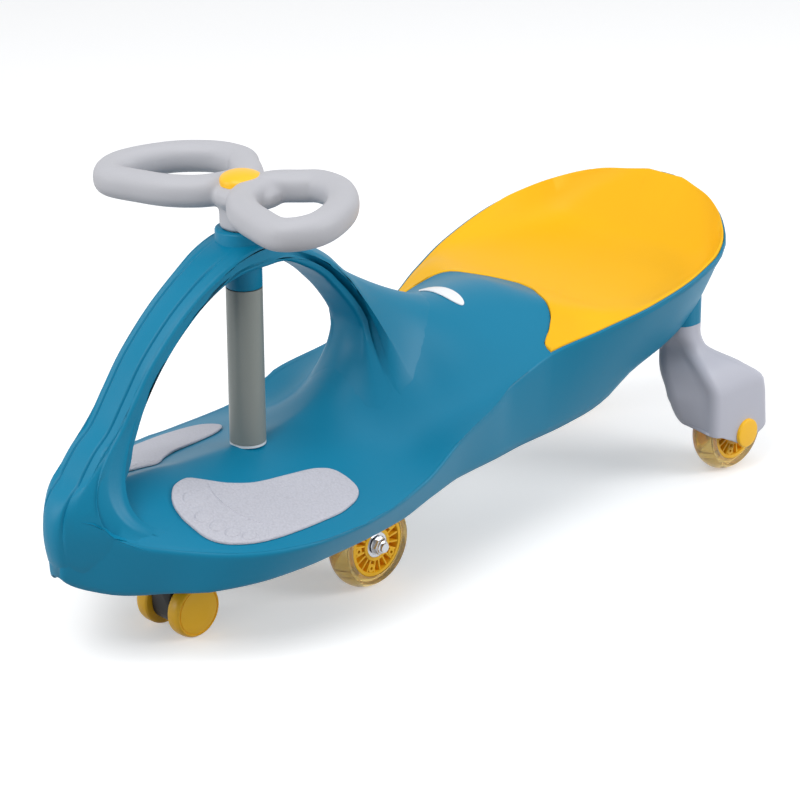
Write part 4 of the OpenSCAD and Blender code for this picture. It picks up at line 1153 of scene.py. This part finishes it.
        def clear(place: Spot) -> bool:
            """Whether a place stands out from the front wall, or lies above it."""
            x, _, z = place
            return z >= self.brow_z + 12 or x > line.front_wall(y, min(z, self.brow_z)) + 0.5 - sunk

        for push in range(14):
            path = [bend(start, (wall + push, y, corner[2]), end, s) for s in self.shares]
            if all(clear(place) for place in path[3:-2]):
                break
        return leave, path + [(line.front_wall(y, chin - 3) - 3, y, chin - 3)]

    def rim(self, strand: Strand) -> Foot:
        """The front leg's edge, run into the crease round the deck.

        Args:
            strand: line of the arch.

        Returns:
            Where the line leaves the arch, and the rest of it.
        """
        line, (j, sign) = self.lines, strand
        turn = (j - EDGE_AT) / (SIDE_AT - 1 - EDGE_AT)

        def beside(u: float, out: float) -> Spot:
            """A place at the crease, on its wall for a turn below a half and on the deck above."""
            wide, high, low_wide, low = line.wide(u), line.high(u), line.low_wide(u), line.low(u)
            if turn < 0.5:
                drop = (0.5 - turn) * 8
                y = wide + (low_wide - wide) * drop / (high - low)
                return (line.x(u) + out, sign * (y + out), high - drop)
            y = wide - (turn - 0.5) * 10 - 0.4
            return (line.x(u), sign * y, line.top(line.x(u), y) + out)

        start = self.spot(strand, self.toe)
        bow = (self.bow[0], start[1] + sign, self.bow[1])
        meet, *ends = (beside(*end) for end in self.rim_run)
        turns = self.fillet - len(ends)
        path = [bend(start, bow, meet, i / turns) for i in range(1, turns + 1)]
        return self.toe, path + ends

    def flank(self, strand: Strand) -> Foot:
        """The front leg's side, swept out on to the deck inside its crease.

        Args:
            strand: line of the arch.

        Returns:
            Where the line leaves the arch, and the rest of it.
        """
        line, (j, sign) = self.lines, strand
        deep = j - SIDE_AT + 1
        leave = self.toe + 0.14 * deep
        start = self.spot(strand, leave)
        root = self.spot(strand, self.pierce(strand, True))
        share = min(1.0, deep / 4)
        x, z = self.bow
        bow = (x + (root[0] - x) * share, start[1] + sign * (1 + 0.5 * deep), z + (root[2] - z) * share)
        u = 0.06 + 0.006 * deep
        end = (line.x(u), sign * (line.wide(u) - 8 - 2.6 * deep))
        return leave, self.land(start, bow, end, (end[0] - 1.5, end[1] + sign), 0.9)

    def crest(self, strand: Strand) -> Foot:
        """The rear leg's outer face, fanned out on to the hump's crest.

        Args:
            strand: line of the arch.

        Returns:
            Where the line leaves the arch, and the rest of it.
        """
        start = self.spot(strand, self.heel)
        share = min(1.0, abs(start[1]) / self.fan_half) ** 2
        x, z, end_x = (a + (b - a) * share for a, b in zip(*self.fan))
        end_y = start[1] * 2.0
        bow, far = (x, start[1] * 1.15, z), (end_x - 2.5, end_y * 1.05)
        return self.heel, self.land(start, bow, (end_x, end_y), far)

    def build(self) -> None:
        """Builds the arch with its head."""
        count = len(self.half_ring(4))
        around = [(j, 1) for j in range(count)] + [(j, -1) for j in range(count - 2, 0, -1)]
        lines = []
        for strand in around:
            front, toe = self.foot(strand, True)
            rear, heel = self.foot(strand, False)
            ks = (front + (rear - front) * i / self.samples for i in range(self.samples + 1))
            lines.append(toe[::-1] + [self.spot(strand, k) for k in ks] + heel)
        form = Form()
        form.loft([list(row) for row in zip(*lines)], caps=(False, False))
        for steps, profile in self.sleeves:
            form.lathe(profile, (self.column, 0, 0), Axis.UPRIGHT, steps, closed=True)
        dress(form.settle("arch_skin", 50), Finish.body_plastic, "chassis", "body_shell")


@dataclass
class SkinPad:
    """A thin piece that lies on the body's skin, with rounded edges."""

    lines: BodyLines
    name: str
    finish: Finish
    outline: list[Flat]
    centre: Flat
    foot: float
    height: float
    crown: float = 0.0
    rings: int = 12
    curl: float = 1.2

    @classmethod
    def seat(cls, lines: BodyLines) -> "SkinPad":
        """The seat in the tail."""
        return cls(lines, "seat_shell", Finish.seat_plastic, lines.seat_outline(inset=0.5),
                   centre=(-225.0, 0.0), foot=-3.0, height=1.2, rings=36, curl=1.4)

    @classmethod
    def oval_plate(cls, lines: BodyLines) -> "SkinPad":
        """The plate on the hump."""
        x, long, wide, steps = -61.0, 9.0, 26.0, 64
        turns = [math.tau * i / steps for i in range(steps)]
        outline = [(x + long * math.sin(turn), wide * math.cos(turn)) for turn in turns]
        return cls(lines, "oval_plate", Finish.badge_plastic, outline, centre=(x, 0.0), foot=0.1, height=2.0,
                   crown=0.3, rings=10, curl=0.8)

    def inset(self, gap: float) -> list[Flat]:
        """The outline drawn in by a gap.

        Args:
            gap: distance from the outline.

        Returns:
            The new ring.
        """
        spots = []
        n = len(self.outline)
        area = sum(a[0] * b[1] - b[0] * a[1] for a, b in Form.pairs(self.outline, True))
        turn = 1 if area > 0 else -1
        for i, (x, y) in enumerate(self.outline):
            way = heading(self.outline[i - 1], self.outline[(i + 1) % n])
            spots.append((x - turn * way.y * gap, y + turn * way.x * gap))
        return spots

    def towards(self, ring: list[Flat], share: float) -> list[Flat]:
        """A ring drawn towards the piece's centre."""
        return [(x + (self.centre[0] - x) * share, y + (self.centre[1] - y) * share) for x, y in ring]

    def lay(self, flat: Iterable[Flat], lift: float) -> list[Spot]:
        """Lays flat places on the skin, lifted by a height."""
        return [(x, y, self.lines.top(x, y) + lift) for x, y in flat]

    def build(self, node: str, relief: Callable[["SkinPad", Form], None] | None = None) -> None:
        """Builds the piece.

        Args:
            node: solid that it stands for.
            relief: adds raised detail to it.
        """
        top = self.height - self.crown
        rim = self.inset(self.curl * 1.6)
        rows = [self.lay(self.towards(rim, 1 - i / self.rings), self.foot) for i in range(self.rings)]
        rows += [self.lay(self.inset(self.curl), self.foot), self.lay(self.outline, self.foot + 0.3)]
        for turn in (math.pi / 2 * i / 4 for i in range(5)):
            edge = self.inset(self.curl * (1 - math.cos(turn)))
            rows.append(self.lay(edge, top - self.curl + self.curl * math.sin(turn)))
        for share in (i / self.rings for i in range(1, self.rings + 1)):
            rows.append(self.lay(self.towards(rim, share), top + self.crown * (1 - (1 - share) ** 2)))
        form = Form()
        form.loft(rows, caps=(False, False))
        if relief:
            relief(self, form)
        dress(form.settle(self.name, 50), self.finish, "chassis", node)


@dataclass
class FootPad:
    """A tread for one foot, with the relief of a sole on it."""

    lines: BodyLines
    side: Side
    length: float = 153.0
    setback: float = 86.0
    thick: float = 2.5
    lift: float = 0.3
    # Inner and outer edge as shares of the body's half width, by share of the length.
    edges: Curve = Curve((
        (0, 0.4, 0.44), (0.013, 0.32, 0.58), (0.06, 0.235, 0.68), (0.124, 0.18, 0.74),
        (0.222, 0.155, 0.795), (0.307, 0.205, 0.82), (0.4, 0.29, 0.835), (0.54, 0.365, 0.845),
        (0.73, 0.4, 0.845), (0.876, 0.43, 0.812), (0.96, 0.48, 0.76), (0.993, 0.54, 0.7), (1, 0.6, 0.64),
    ))
    middle: Flat = (0.42, 0.56)
    # Places in the same shares, then half length and half width.
    toes: tuple[Row, ...] = (
        (0.155, 0.33, 11.5, 8.5), (0.1, 0.475, 8.5, 6), (0.115, 0.575, 7.5, 5.2), (0.15, 0.66, 7, 4.8),
        (0.205, 0.735, 6.5, 4.4),
    )
    # Scales and heights.
    toe_rings: tuple[Flat, ...] = (
        (1.06, -0.6), (1.0, 0.1), (0.95, 0.55), (0.86, 0.75), (0.6, 0.85), (0.25, 0.9),
    )
    ball: tuple[Flat, ...] = (
        (0.30, 0.25), (0.275, 0.32), (0.262, 0.4), (0.262, 0.48), (0.275, 0.56), (0.3, 0.64), (0.345, 0.71),
        (0.4, 0.745),
    )
    ball_ridge: tuple[Flat, ...] = ((-1.1, -0.5), (-0.6, 0.45), (0, 0.7), (0.6, 0.45), (1.1, -0.5))

    def flat(self, t: float, share: float) -> Flat:
        """A place on the pad, by share of its length from the toe and of the body's half width."""
        line = self.lines
        return (line.nose - self.setback - self.length * t, self.side.value * line.half * share)

    def outline(self) -> list[Flat]:
        """The pad's outline as a closed ring."""
        ts = [(1 - math.cos(math.pi * i / 48)) / 2 for i in range(49)]
        inner, outer = ([self.flat(t, self.edges.at(t, c)) for t in ts] for c in (1, 2))
        return outer + inner[::-1]

    def relief(self, pad: SkinPad, form: Form) -> None:
        """Raises the toes and a line round the ball of the foot.

        Args:
            pad: the tread.
            form: its mesh.
        """
        base = self.lift + self.thick
        turns = [math.tau * i / 28 for i in range(28)]
        for t, share, long, wide in self.toes:
            x, y = self.flat(t, share)
            rows = []
            for scale, height in self.toe_rings:
                ring = [(x + long * scale * math.cos(a), y + wide * scale * math.sin(a)) for a in turns]
                rows.append(pad.lay(ring, base + height))
            form.loft(rows, caps=(False, True))
        path = [self.flat(*place) for place in self.ball]
        rows, last = [], 4 * (len(path) - 1)
        for i in range(last + 1):
            k = min(i / 4, len(path) - 1.001)
            pick = [path[min(len(path) - 1, max(0, int(k) + d))] for d in (-1, 0, 1, 2)]
            here, ahead = drift(*pick, k - int(k)), drift(*pick, k - int(k) + 0.05)
            way = heading(here, ahead)
            thin = 1.0 if 1 < i < last - 1 else 0.4
            row = []
            for off, height in self.ball_ridge:
                place = (here[0] - way.y * off * thin, here[1] + way.x * off * thin)
                row += pad.lay([place], base + height * thin)
            rows.append(row)
        form.loft(rows, closed=False)

    def build(self) -> None:
        """Builds the tread."""
        node = f"{self.side.word}_foot_pad"
        pad = SkinPad(self.lines, f"{node}_tread", Finish.pad_rubber, self.outline(), self.flat(*self.middle),
                      foot=self.lift, height=self.lift + self.thick, crown=0.2, rings=22)
        pad.build(node, self.relief)


@dataclass
class SteeringWheel:
    """Two closed grip loops either side of a hub, with a neck below and a domed cap above."""

    column: float = 166.0
    span: float = 258.0
    rim: Flat = (13.0, 13.0)  # half width and half height
    rim_power: float = 0.84
    rim_z: float = 343.0
    rake: float = 0.075
    rise: float = 0.026
    neck: Spot = (18.5, 326.4, 350.0)  # radius, lower and upper end
    hub: tuple[Flat, ...] = (
        (0, 343.5), (22, 343.5), (28, 346), (31, 351), (30, 357), (26, 361.5), (20, 364), (0, 364),
    )
    hub_back: float = 7.0
    voxel: float = 1.5
    eased: int = 14
    cap_r: float = 18.0
    cap_z: Spot = (362.0, 364.6, 373.0)  # lower end, top of the edge and of the dome
    # Shares of half the span.
    loop: tuple[Flat, ...] = (
        (0.396, 0.789), (0.21, 0.899), (-0.086, 0.79), (-0.279, 0.58), (-0.324, 0.378), (-0.27, 0.27),
        (-0.126, 0.1), (0.117, 0.154), (0.271, 0.325), (0.352, 0.542),
    )

    def path(self, steps: int = 7) -> list[Flat]:
        """The loop's middle line in millimetres."""
        n = len(self.loop)
        near = [[self.loop[(i + d) % n] for d in (-1, 0, 1, 2)] for i in range(n)]
        rows = (drift(*pick, s / steps) for pick in near for s in range(steps))
        return [(x * self.span / 2, y * self.span / 2) for x, y in rows]

    def rings(self, side: Side) -> list[list[Spot]]:
        """Sections of one loop.

        Args:
            side: which loop.

        Returns:
            Rings along it, the first one again at the end.
        """
        path = self.path()
        wide, tall = self.rim
        rings = []
        for i, (x, y) in enumerate(path):
            way = heading(path[i - 1], path[(i + 1) % len(path)])
            z = self.rim_z + tall + self.rise * y - self.rake * x
            ring = []
            for turn in (math.tau * step / 24 for step in range(24)):
                c, s = (math.copysign(abs(f(turn)) ** self.rim_power, f(turn)) for f in (math.cos, math.sin))
                off = wide * c
                ring.append((self.column + x - way.y * off, side.value * (y + way.x * off), z + tall * s))
            rings.append(ring)
        return rings + [rings[0]]

    def grip(self) -> None:
        """Builds the loops, the hub and the neck as one moulding."""
        form = Form()
        for side in Side:
            form.loft(self.rings(side), caps=(False, False))
        radius, low, high = self.neck
        neck = [(0, low), (radius - 0.8, low), (radius, low + 0.8), (radius, high), (0, high)]
        form.lathe(neck, (self.column, 0, 0), Axis.UPRIGHT)
        form.lathe(self.hub, (self.column - self.hub_back, 0, 0), Axis.UPRIGHT)
        grip = form.settle("steering_grip")
        fuse = grip.modifiers.new("fuse", "REMESH")
        fuse.mode, fuse.voxel_size = "VOXEL", self.voxel * MM
        ease = grip.modifiers.new("ease", "SMOOTH")
        ease.factor, ease.iterations = 0.5, self.eased
        bake(grip)
        dress(grip, Finish.grip_plastic, "steering", "steering_wheel")

    def cap(self) -> None:
        """Builds the domed cap."""
        low, edge, high = self.cap_z
        dome = [(0, low), (self.cap_r, low), (self.cap_r, edge)]
        for turn in (math.pi / 2 * i / 10 for i in range(1, 11)):
            dome.append((self.cap_r * math.cos(turn), edge + (high - edge) * math.sin(turn) ** 0.9))
        form = Form()
        form.lathe(dome, (self.column, 0, 0), Axis.UPRIGHT, 72)
        dress(form.settle("steering_cap"), Finish.hub_plastic, "steering", "wheel_cap")

    def build(self) -> None:
        """Builds the grip and the cap."""
        self.grip()
        self.cap()


@dataclass
class RearLeg:
    """A neck that swells into a housing over its wheel."""

    side: Side
    axle: float = -331.0
    top: float = 150.0
    wall: float = 3.5
    # By depth: front inside and outside, back, inner side, outer side, corners' rounding.
    flats: Curve = Curve((
        (0, -268, -268, -302, 63.5, 100.5, 14), (8, -268.5, -268.5, -302, 63.5, 100.5, 14),
        (21, -272, -276, -304, 63.7, 103.2, 13), (46.5, -264.2, -279, -339, 73, 121.5, 11),
        (64.5, -264.6, -284, -361, 81, 127, 10), (97.5, -280.5, -285.2, -366, 84.3, 127.5, 10),
        (115, -283, -285.4, -366.5, 84.5, 127.5, 10),
    ))
    depths: Row = (0, 3, *range(8, 77, 4))
    lower_len: float = 30.0
    lower_rings: int = 8
    # Heights at the front inside and outside, then at the back outside and inside.
    edge: tuple[float, float, float, float] = (56.0, 46.0, 40.0, 62.0)
    dip: Flat = (31.0, 29.0)  # outside and inside
    dip_len: float = 30.0

    def ring(self, depth: float, share: float) -> list[Spot]:
        """A section of the leg.

        Args:
            depth: how far it lies below the top.
            share: how far it has run towards the housing's lower edge.

        Returns:
            The ring's places.
        """
        front_in, front_out, back, low_y, high_y, corner = (self.flats.at(depth, c) for c in range(1, 7))
        corners = (
            (front_out, high_y, 0), (back, high_y, 90), (back, low_y, 180), (front_in, low_y, 270),
        )
        arcs = []
        for x, y, start in corners:
            cx = x - corner if start in (0, 270) else x + corner
            cy = y - corner if y == high_y else y + corner
            turns = [math.radians(start + 90 * i / 8) for i in range(9)]
            arcs.append([(cx + corner * math.cos(turn), cy + corner * math.sin(turn)) for turn in turns])
        flat: list[Flat] = []
        for arc, after in Form.pairs(arcs, True):
            between = [tuple(a + (b - a) * s / 5 for a, b in zip(arc[-1], after[0])) for s in range(1, 5)]
            flat += arc + between
        ring = []
        for x, y in flat:
            level = self.top - depth
            if share > 0:
                level += (self.lower(x, y, front_in, back, low_y, high_y) - level) * share
            ring.append((x, self.side.value * y, level))
        return ring

    def lower(self, x: float, y: float, front: float, back: float, low_y: float, high_y: float) -> float:
        """Height of the housing's lower edge.

        Args:
            x: place along the car.
            y: place across the car.
            front: front of the section.
            back: back of it.
            low_y: its inner side.
            high_y: its outer side.

        Returns:
            The height above the floor.
        """
        a, b = clamp((front - x) / (front - back)), clamp((y - low_y) / (high_y - low_y))
        front_in, front_out, back_out, back_in = self.edge
        level = (front_in * (1 - b) + front_out * b) * (1 - a) + (back_in * (1 - b) + back_out * b) * a
        near = max(0.0, 1 - ((x - self.axle) / self.dip_len) ** 2)
        side = abs(2 * b - 1) ** 3
        deep = self.dip[1] + (self.dip[0] - self.dip[1]) * b
        return level + (min(level, deep) - level) * near * side

    def build(self) -> None:
        """Builds the leg."""
        rows = [self.ring(depth, 0) for depth in self.depths]
        for share in (i / self.lower_rings for i in range(1, self.lower_rings + 1)):
            rows.append(self.ring(self.depths[-1] + self.lower_len * share, share))
        form = Form()
        form.loft(rows, caps=(True, False))
        node = f"{self.side.word}_rear_leg"
        leg = form.settle(f"{node}_shell", 60)
        thicken(leg, self.wall)
        dress(leg, Finish.leg_plastic, "chassis", node)


@dataclass
class AxleCap:
    """The disc that caps a rear axle, slightly domed."""

    side: Side
    axle: Flat = (-331.0, 40.0)
    face: float = 127.5
    profile: tuple[Flat, ...] = (
        (9, -4.5), (9, 0), (13.5, 0), (13.5, 1.9), (13.2, 2.7), (12.4, 3.1), (11.4, 3.2), (6, 3.45), (0, 3.5),
    )

    def build(self) -> None:
        """Builds the disc."""
        form = Form()
        form.turn(self.profile, self.side, self.axle, self.face, 56)
        word = self.side.word
        dress(form.settle(f"{word}_axle_disc"), Finish.hub_plastic, "chassis", f"{word}_axle_cap")


class End(Enum):
    """The car's ends, with the centre of the left road wheel at each."""

    FRONT = (80.0, 51.5, 40.0)
    REAR = (-331.0, 104.5, 40.0)


@dataclass
class RoadWheel:
    """A clear tyre over a slotted hub, with light modules between them."""

    side: Side
    end: End
    width: float = 24.0
    crown: Spot = (16.0, 24.0, 48.0)  # the tread's arc, its centre's radius, degrees to its edge
    hub_r: float = 28.0
    core_r: float = 14.5
    sectors: int = 5
    spokes: Row = (-0.36, -0.13, 0.13, 0.36)
    lamps: int = 3

    @property
    def name(self) -> str:
        """The wheel's name as the solids spell it."""
        return f"{self.side.word}_{self.end.name.lower()}"

    @property
    def centre(self) -> Spot:
        """The middle of the wheel."""
        x, y, z = self.end.value
        return (x, self.side.value * y, z)

    @staticmethod
    def mirrored(*profile: Flat) -> list[Flat]:
        """A profile and its reflection across the wheel's middle."""
        return [*profile, *((r, -h) for r, h in reversed(profile))]

    def at(self, turn: float, reach: float) -> Matrix:
        """A place on the wheel, by angle and radius."""
        around = Matrix.Translation(self.centre) @ Matrix.Rotation(turn, 4, "Y")
        return around @ Matrix.Translation((reach, 0, 0))

    def make(self, form: Form, piece: str, finish: Finish, node: str, sharp: float = 40.0) -> None:
        """Makes a piece of the wheel from its mesh.

        Args:
            form: the mesh.
            piece: what the piece is.
            finish: its finish.
            node: what the solid is that it stands for.
            sharp: angle in degrees past which an edge stays crisp.
        """
        dress(form.settle(f"{self.name}_{piece}", sharp), finish, f"{self.name}_wheel", f"{self.name}_{node}")

    def tyre(self) -> None:
        """Builds the tyre."""
        half, inner = self.width / 2, self.hub_r + 0.1
        arc, middle, reach = self.crown
        turns = [math.radians(-reach + 2 * reach * i / 16) for i in range(17)]
        tread = [(middle + arc * math.cos(turn), arc * math.sin(turn)) for turn in turns]
        sides = self.mirrored(
            (31.2, half), (29.4, half - 0.1), (inner, half - 0.7), (inner, 7.4), (inner + 3, 7.4))
        form = Form()
        form.lathe(tread + sides, self.centre, Axis.CROSSWISE, 96, closed=True)
        self.make(form, "clear_tyre", Finish.tyre_clear, "tyre", 30)

    def hub(self) -> None:
        """Builds the hub with its slots and screw bosses."""
        half, rim, core = self.width / 2 - 0.8, self.hub_r, self.core_r
        form = Form()
        for steps, *profile in (
            (80, (rim, half - 0.5), (rim - 0.5, half), (rim - 3, half), (rim - 3.4, half - 0.5)),
            (64, (9, 3.8), (11.15, 3.8), (11.15, half), (core - 0.5, half), (core, half - 0.5)),
            (64, (core - 1, 2.5), (rim - 2, 2.5)),
        ):
            form.lathe(self.mirrored(*profile), self.centre, Axis.CROSSWISE, steps, closed=True)
        step = math.tau / self.sectors
        spoke = (rim - 3 - core + 1.4, 2 * half - 1.2, 1.7)
        boss = self.mirrored((1.4, 4), (1.4, half - 0.3), (3.4, half - 0.3), (3.9, half - 0.8))
        for i in range(self.sectors):
            for turn in self.spokes:
                form.block(spoke, self.at(step * (i + 0.5) + turn * step, (core + rim - 3) / 2), 0.3)
            form.lathe(boss, self.at(step * i, 21).to_translation(), Axis.CROSSWISE, 20)
        self.make(form, "slotted_hub", Finish.hub_plastic, "hub")

    def lights(self) -> None:
        """Builds the light ring with its modules."""
        form = Form()
        inner = self.hub_r + 0.2
        ring = self.mirrored((inner, 1.2), (inner + 1, 1.2))
        form.lathe(ring, self.centre, Axis.CROSSWISE, 72, closed=True)
        for i in range(self.lamps):
            form.block((2.6, 13.6, 9.5), self.at(math.tau * (i + 0.32) / self.lamps, inner + 1.4), 0.5)
        self.make(form, "light_modules", Finish.light_module, "light_ring")

    def build(self) -> None:
        """Builds the wheel's pieces."""
        self.tyre()
        self.hub()
        self.lights()


@dataclass
class CasterWheel:
    """A small solid wheel with a flat disc set into its outer face."""

    side: Side
    axle: Flat = (247.0, 23.5)
    inner: float = 12.4
    width: float = 14.0
    radius: float = 23.5

    def build(self) -> None:
        """Builds the wheel."""
        w, r = self.width, self.radius
        profile = [
            (3.1, 0), (r - 4, 0), (r - 1.6, 0.5), (r - 0.4, 1.8), (r, 4), (r, w - 5), (r - 0.5, w - 2.4),
            (r - 1.6, w - 0.7), (r - 2.6, w - 0.2), (r - 3.1, w - 0.3), (r - 3.4, w - 1.0),
            (r - 3.9, w - 1.0), (r - 4.1, w - 0.4), (r - 4.6, w - 0.2), (10, w), (0, w),
        ]
        form = Form()
        form.turn(profile, self.side, self.axle, self.inner, 72)
        name = f"{self.side.word}_caster"
        dress(form.settle(f"{name}_roller", 32), Finish.hub_plastic, name, f"{name}_wheel")


@dataclass
class AxleNuts:
    """Lock nuts with a domed collar on the front axle's ends."""

    axle: Flat = (80.0, 40.0)
    seat: float = 62.5
    # Faces round it and profile, for the washer, the nut and its collar.
    profiles: tuple[tuple[int, tuple[Flat, ...]], ...] = (
        (40, ((4.1, 0), (7.6, 0), (8, 0.4), (8, 1.1), (7.6, 1.5), (4.1, 1.5))),
        (6, ((7.4, 1.5), (7.4, 5.6), (6.6, 6.4), (4.1, 6.4), (4.1, 1.5))),
        (40, ((4.1, 6.4), (5.8, 6.4), (5.6, 7.4), (4.6, 8), (4.1, 8))),
    )

    def build(self) -> None:
        """Builds both nuts with their washers."""
        form = Form()
        for side in Side:
            for steps, profile in self.profiles:
                form.turn(profile, side, self.axle, self.seat, steps, closed=True)
        dress(form.settle("front_lock_nuts", 28), Finish.steel, "steering", "front_axle_nuts")


@dataclass
class KeptSolids:
    """Solids whose own shape is right, which only get a better finish."""

    finishes: dict[Finish, tuple[str, ...]] = field(default_factory=lambda: {
        Finish.body_plastic: ("underbody_cover",),
        Finish.bush_plastic: ("upper_bush", "lower_bush", "thrust_washer"),
        Finish.sleeve_plastic: ("column_sleeve",),
        Finish.truck_plastic: ("truck_frame", "caster_housing"),
        Finish.steel: (
            "cover_screws", "leg_bolts", "left_rear_axle", "right_rear_axle", "rear_axle_nuts", "wheel_bolt",
            "steering_shaft", "truck_bolt", "front_axle", "left_front_bearings", "right_front_bearings",
            "left_rear_bearings", "right_rear_bearings", "caster_stem", "caster_clip", "caster_axle",
        ),
    })

    def dress(self) -> None:
        """Gives each kept solid its finish."""
        for finish, names in self.finishes.items():
            for name in names:
                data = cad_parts[name].data
                data.materials.clear()
                data.materials.append(finish.skin())
                LOG.info("%s keeps its solid in %s", name, finish.name)


@dataclass
class Studio:
    """A pale floor, soft lamps and a camera at the photograph's view."""

    eye: Spot = (1.6202, 1.6335, 1.0440)
    target: Spot = (-0.0102, 0.0, 0.1275)
    lens: float = 129.7
    sensor: float = 36.0
    roll: float = -0.22
    # Place in metres, power and width.
    lamps: tuple[tuple[Spot, float, float], ...] = (
        ((1.7, 0.3, 2.4), 48.0, 2.0), ((-1.5, 2.2, 1.3), 42.0, 1.6), ((-0.5, 0.5, 2.6), 10.0, 2.2),
        ((2.3, -1.3, 0.9), 16.0, 1.0),
    )
    sky: Row = (0.93, 0.96, 1.0, 1.0)
    soft: float = 0.36
    floor_glow: float = 0.36
    floor_tints: Flat = (0.86, 0.88)
    bounce: float = 0.4
    reach: float = 9000.0

    def white(self, tree: bpy.types.NodeTree, lit: Any, bright: Any, out: Any) -> None:
        """Shows white to the camera and in reflections, and the lit surface to all else.

        Args:
            tree: node tree.
            lit: shader for the light on the object.
            bright: shader that is seen.
            out: socket of the output.
        """
        path = tree.nodes.new("ShaderNodeLightPath")
        seen = path.outputs["Is Camera Ray"]
        for name in ("Is Glossy Ray", "Is Transmission Ray"):
            most = tree.nodes.new("ShaderNodeMath")
            most.operation = "MAXIMUM"
            tree.links.new(seen, most.inputs[0])
            tree.links.new(path.outputs[name], most.inputs[1])
            seen = most.outputs[0]
        mix = tree.nodes.new("ShaderNodeMixShader")
        for i, source in enumerate((seen, lit, bright)):
            tree.links.new(source, mix.inputs[i])
        tree.links.new(mix.outputs[0], out)

    def backdrop(self) -> None:
        """Sets the world: soft light on the object, white behind it."""
        world = bpy.data.worlds.new("studio")
        bpy.context.scene.world = world
        world.use_nodes = True
        tree = world.node_tree
        tree.nodes.clear()
        soft, bright = (tree.nodes.new("ShaderNodeBackground") for _ in range(2))
        soft.inputs["Color"].default_value = self.sky
        soft.inputs["Strength"].default_value = self.soft
        bright.inputs["Color"].default_value = (1, 1, 1, 1)
        out = tree.nodes.new("ShaderNodeOutputWorld")
        self.white(tree, soft.outputs[0], bright.outputs[0], out.inputs["Surface"])

    def floor(self) -> None:
        """Lays the pale floor."""
        form = Form()
        far = self.reach
        rows = [[(x, y, 0) for x in (-far, far)] for y in (-far, far)]
        form.loft(rows, closed=False, caps=(False, False))
        floor = form.settle("floor")
        paint = Paint("floor_paint")
        dark, pale = ((grey, grey, grey, 1) for grey in self.floor_tints)
        paint.shade({"Base Color": paint.blend(paint.noise(2, 2), dark, pale), "Roughness": 0.8})
        tree, out = paint.tree, paint.out.inputs["Surface"]
        glow, both = tree.nodes.new("ShaderNodeEmission"), tree.nodes.new("ShaderNodeAddShader")
        glow.inputs["Strength"].default_value = self.floor_glow
        dim = tree.nodes.new("ShaderNodeBsdfDiffuse")
        dim.inputs["Color"].default_value = (self.bounce, self.bounce, self.bounce, 1)
        tree.links.new(out.links[0].from_socket, both.inputs[0])
        tree.links.new(glow.outputs[0], both.inputs[1])
        self.white(tree, dim.outputs[0], both.outputs[0], out)
        floor.data.materials.append(paint.material)

    def look(self, place: Spot) -> Matrix:
        """A view from a place to the target."""
        turn = (Vector(self.target) - Vector(place)).to_track_quat("-Z", "Y")
        return Matrix.Translation(place) @ turn.to_matrix().to_4x4()

    def build(self) -> None:
        """Sets the floor, the world, the lamps and the camera."""
        scene = bpy.context.scene
        scene.view_settings.view_transform = "Standard"
        self.backdrop()
        self.floor()
        for i, (place, power, size) in enumerate(self.lamps):
            data = bpy.data.lights.new(f"lamp_{i}", "AREA")
            data.energy, data.shape, data.size = power, "DISK", size
            lamp = bpy.data.objects.new(f"lamp_{i}", data)
            lamp.matrix_world = self.look(place)
            scene.collection.objects.link(lamp)
        data = bpy.data.cameras.new("camera")
        data.lens, data.sensor_width = self.lens, self.sensor
        camera = bpy.data.objects.new("camera", data)
        camera.matrix_world = self.look(self.eye) @ Matrix.Rotation(math.radians(self.roll), 4, "Z")
        scene.collection.objects.link(camera)
        scene.camera = camera


def main() -> None:
    """Builds the car's looks in order."""
    logging.basicConfig(level=logging.INFO, format="%(message)s")
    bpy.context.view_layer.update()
    Studio().build()
    lines = BodyLines()
    shell = BodyShell(lines)
    shell.build()
    shell.ribs()
    Arch(lines).build()
    SkinPad.seat(lines).build("seat_liner")
    SkinPad.oval_plate(lines).build("badge_plate")
    SteeringWheel().build()
    for side in Side:
        FootPad(lines, side).build()
        RearLeg(side).build()
        AxleCap(side).build()
        for end in End:
            RoadWheel(side, end).build()
        CasterWheel(side).build()
    AxleNuts().build()
    KeptSolids().dress()


if __name__ == "__main__":
    main()
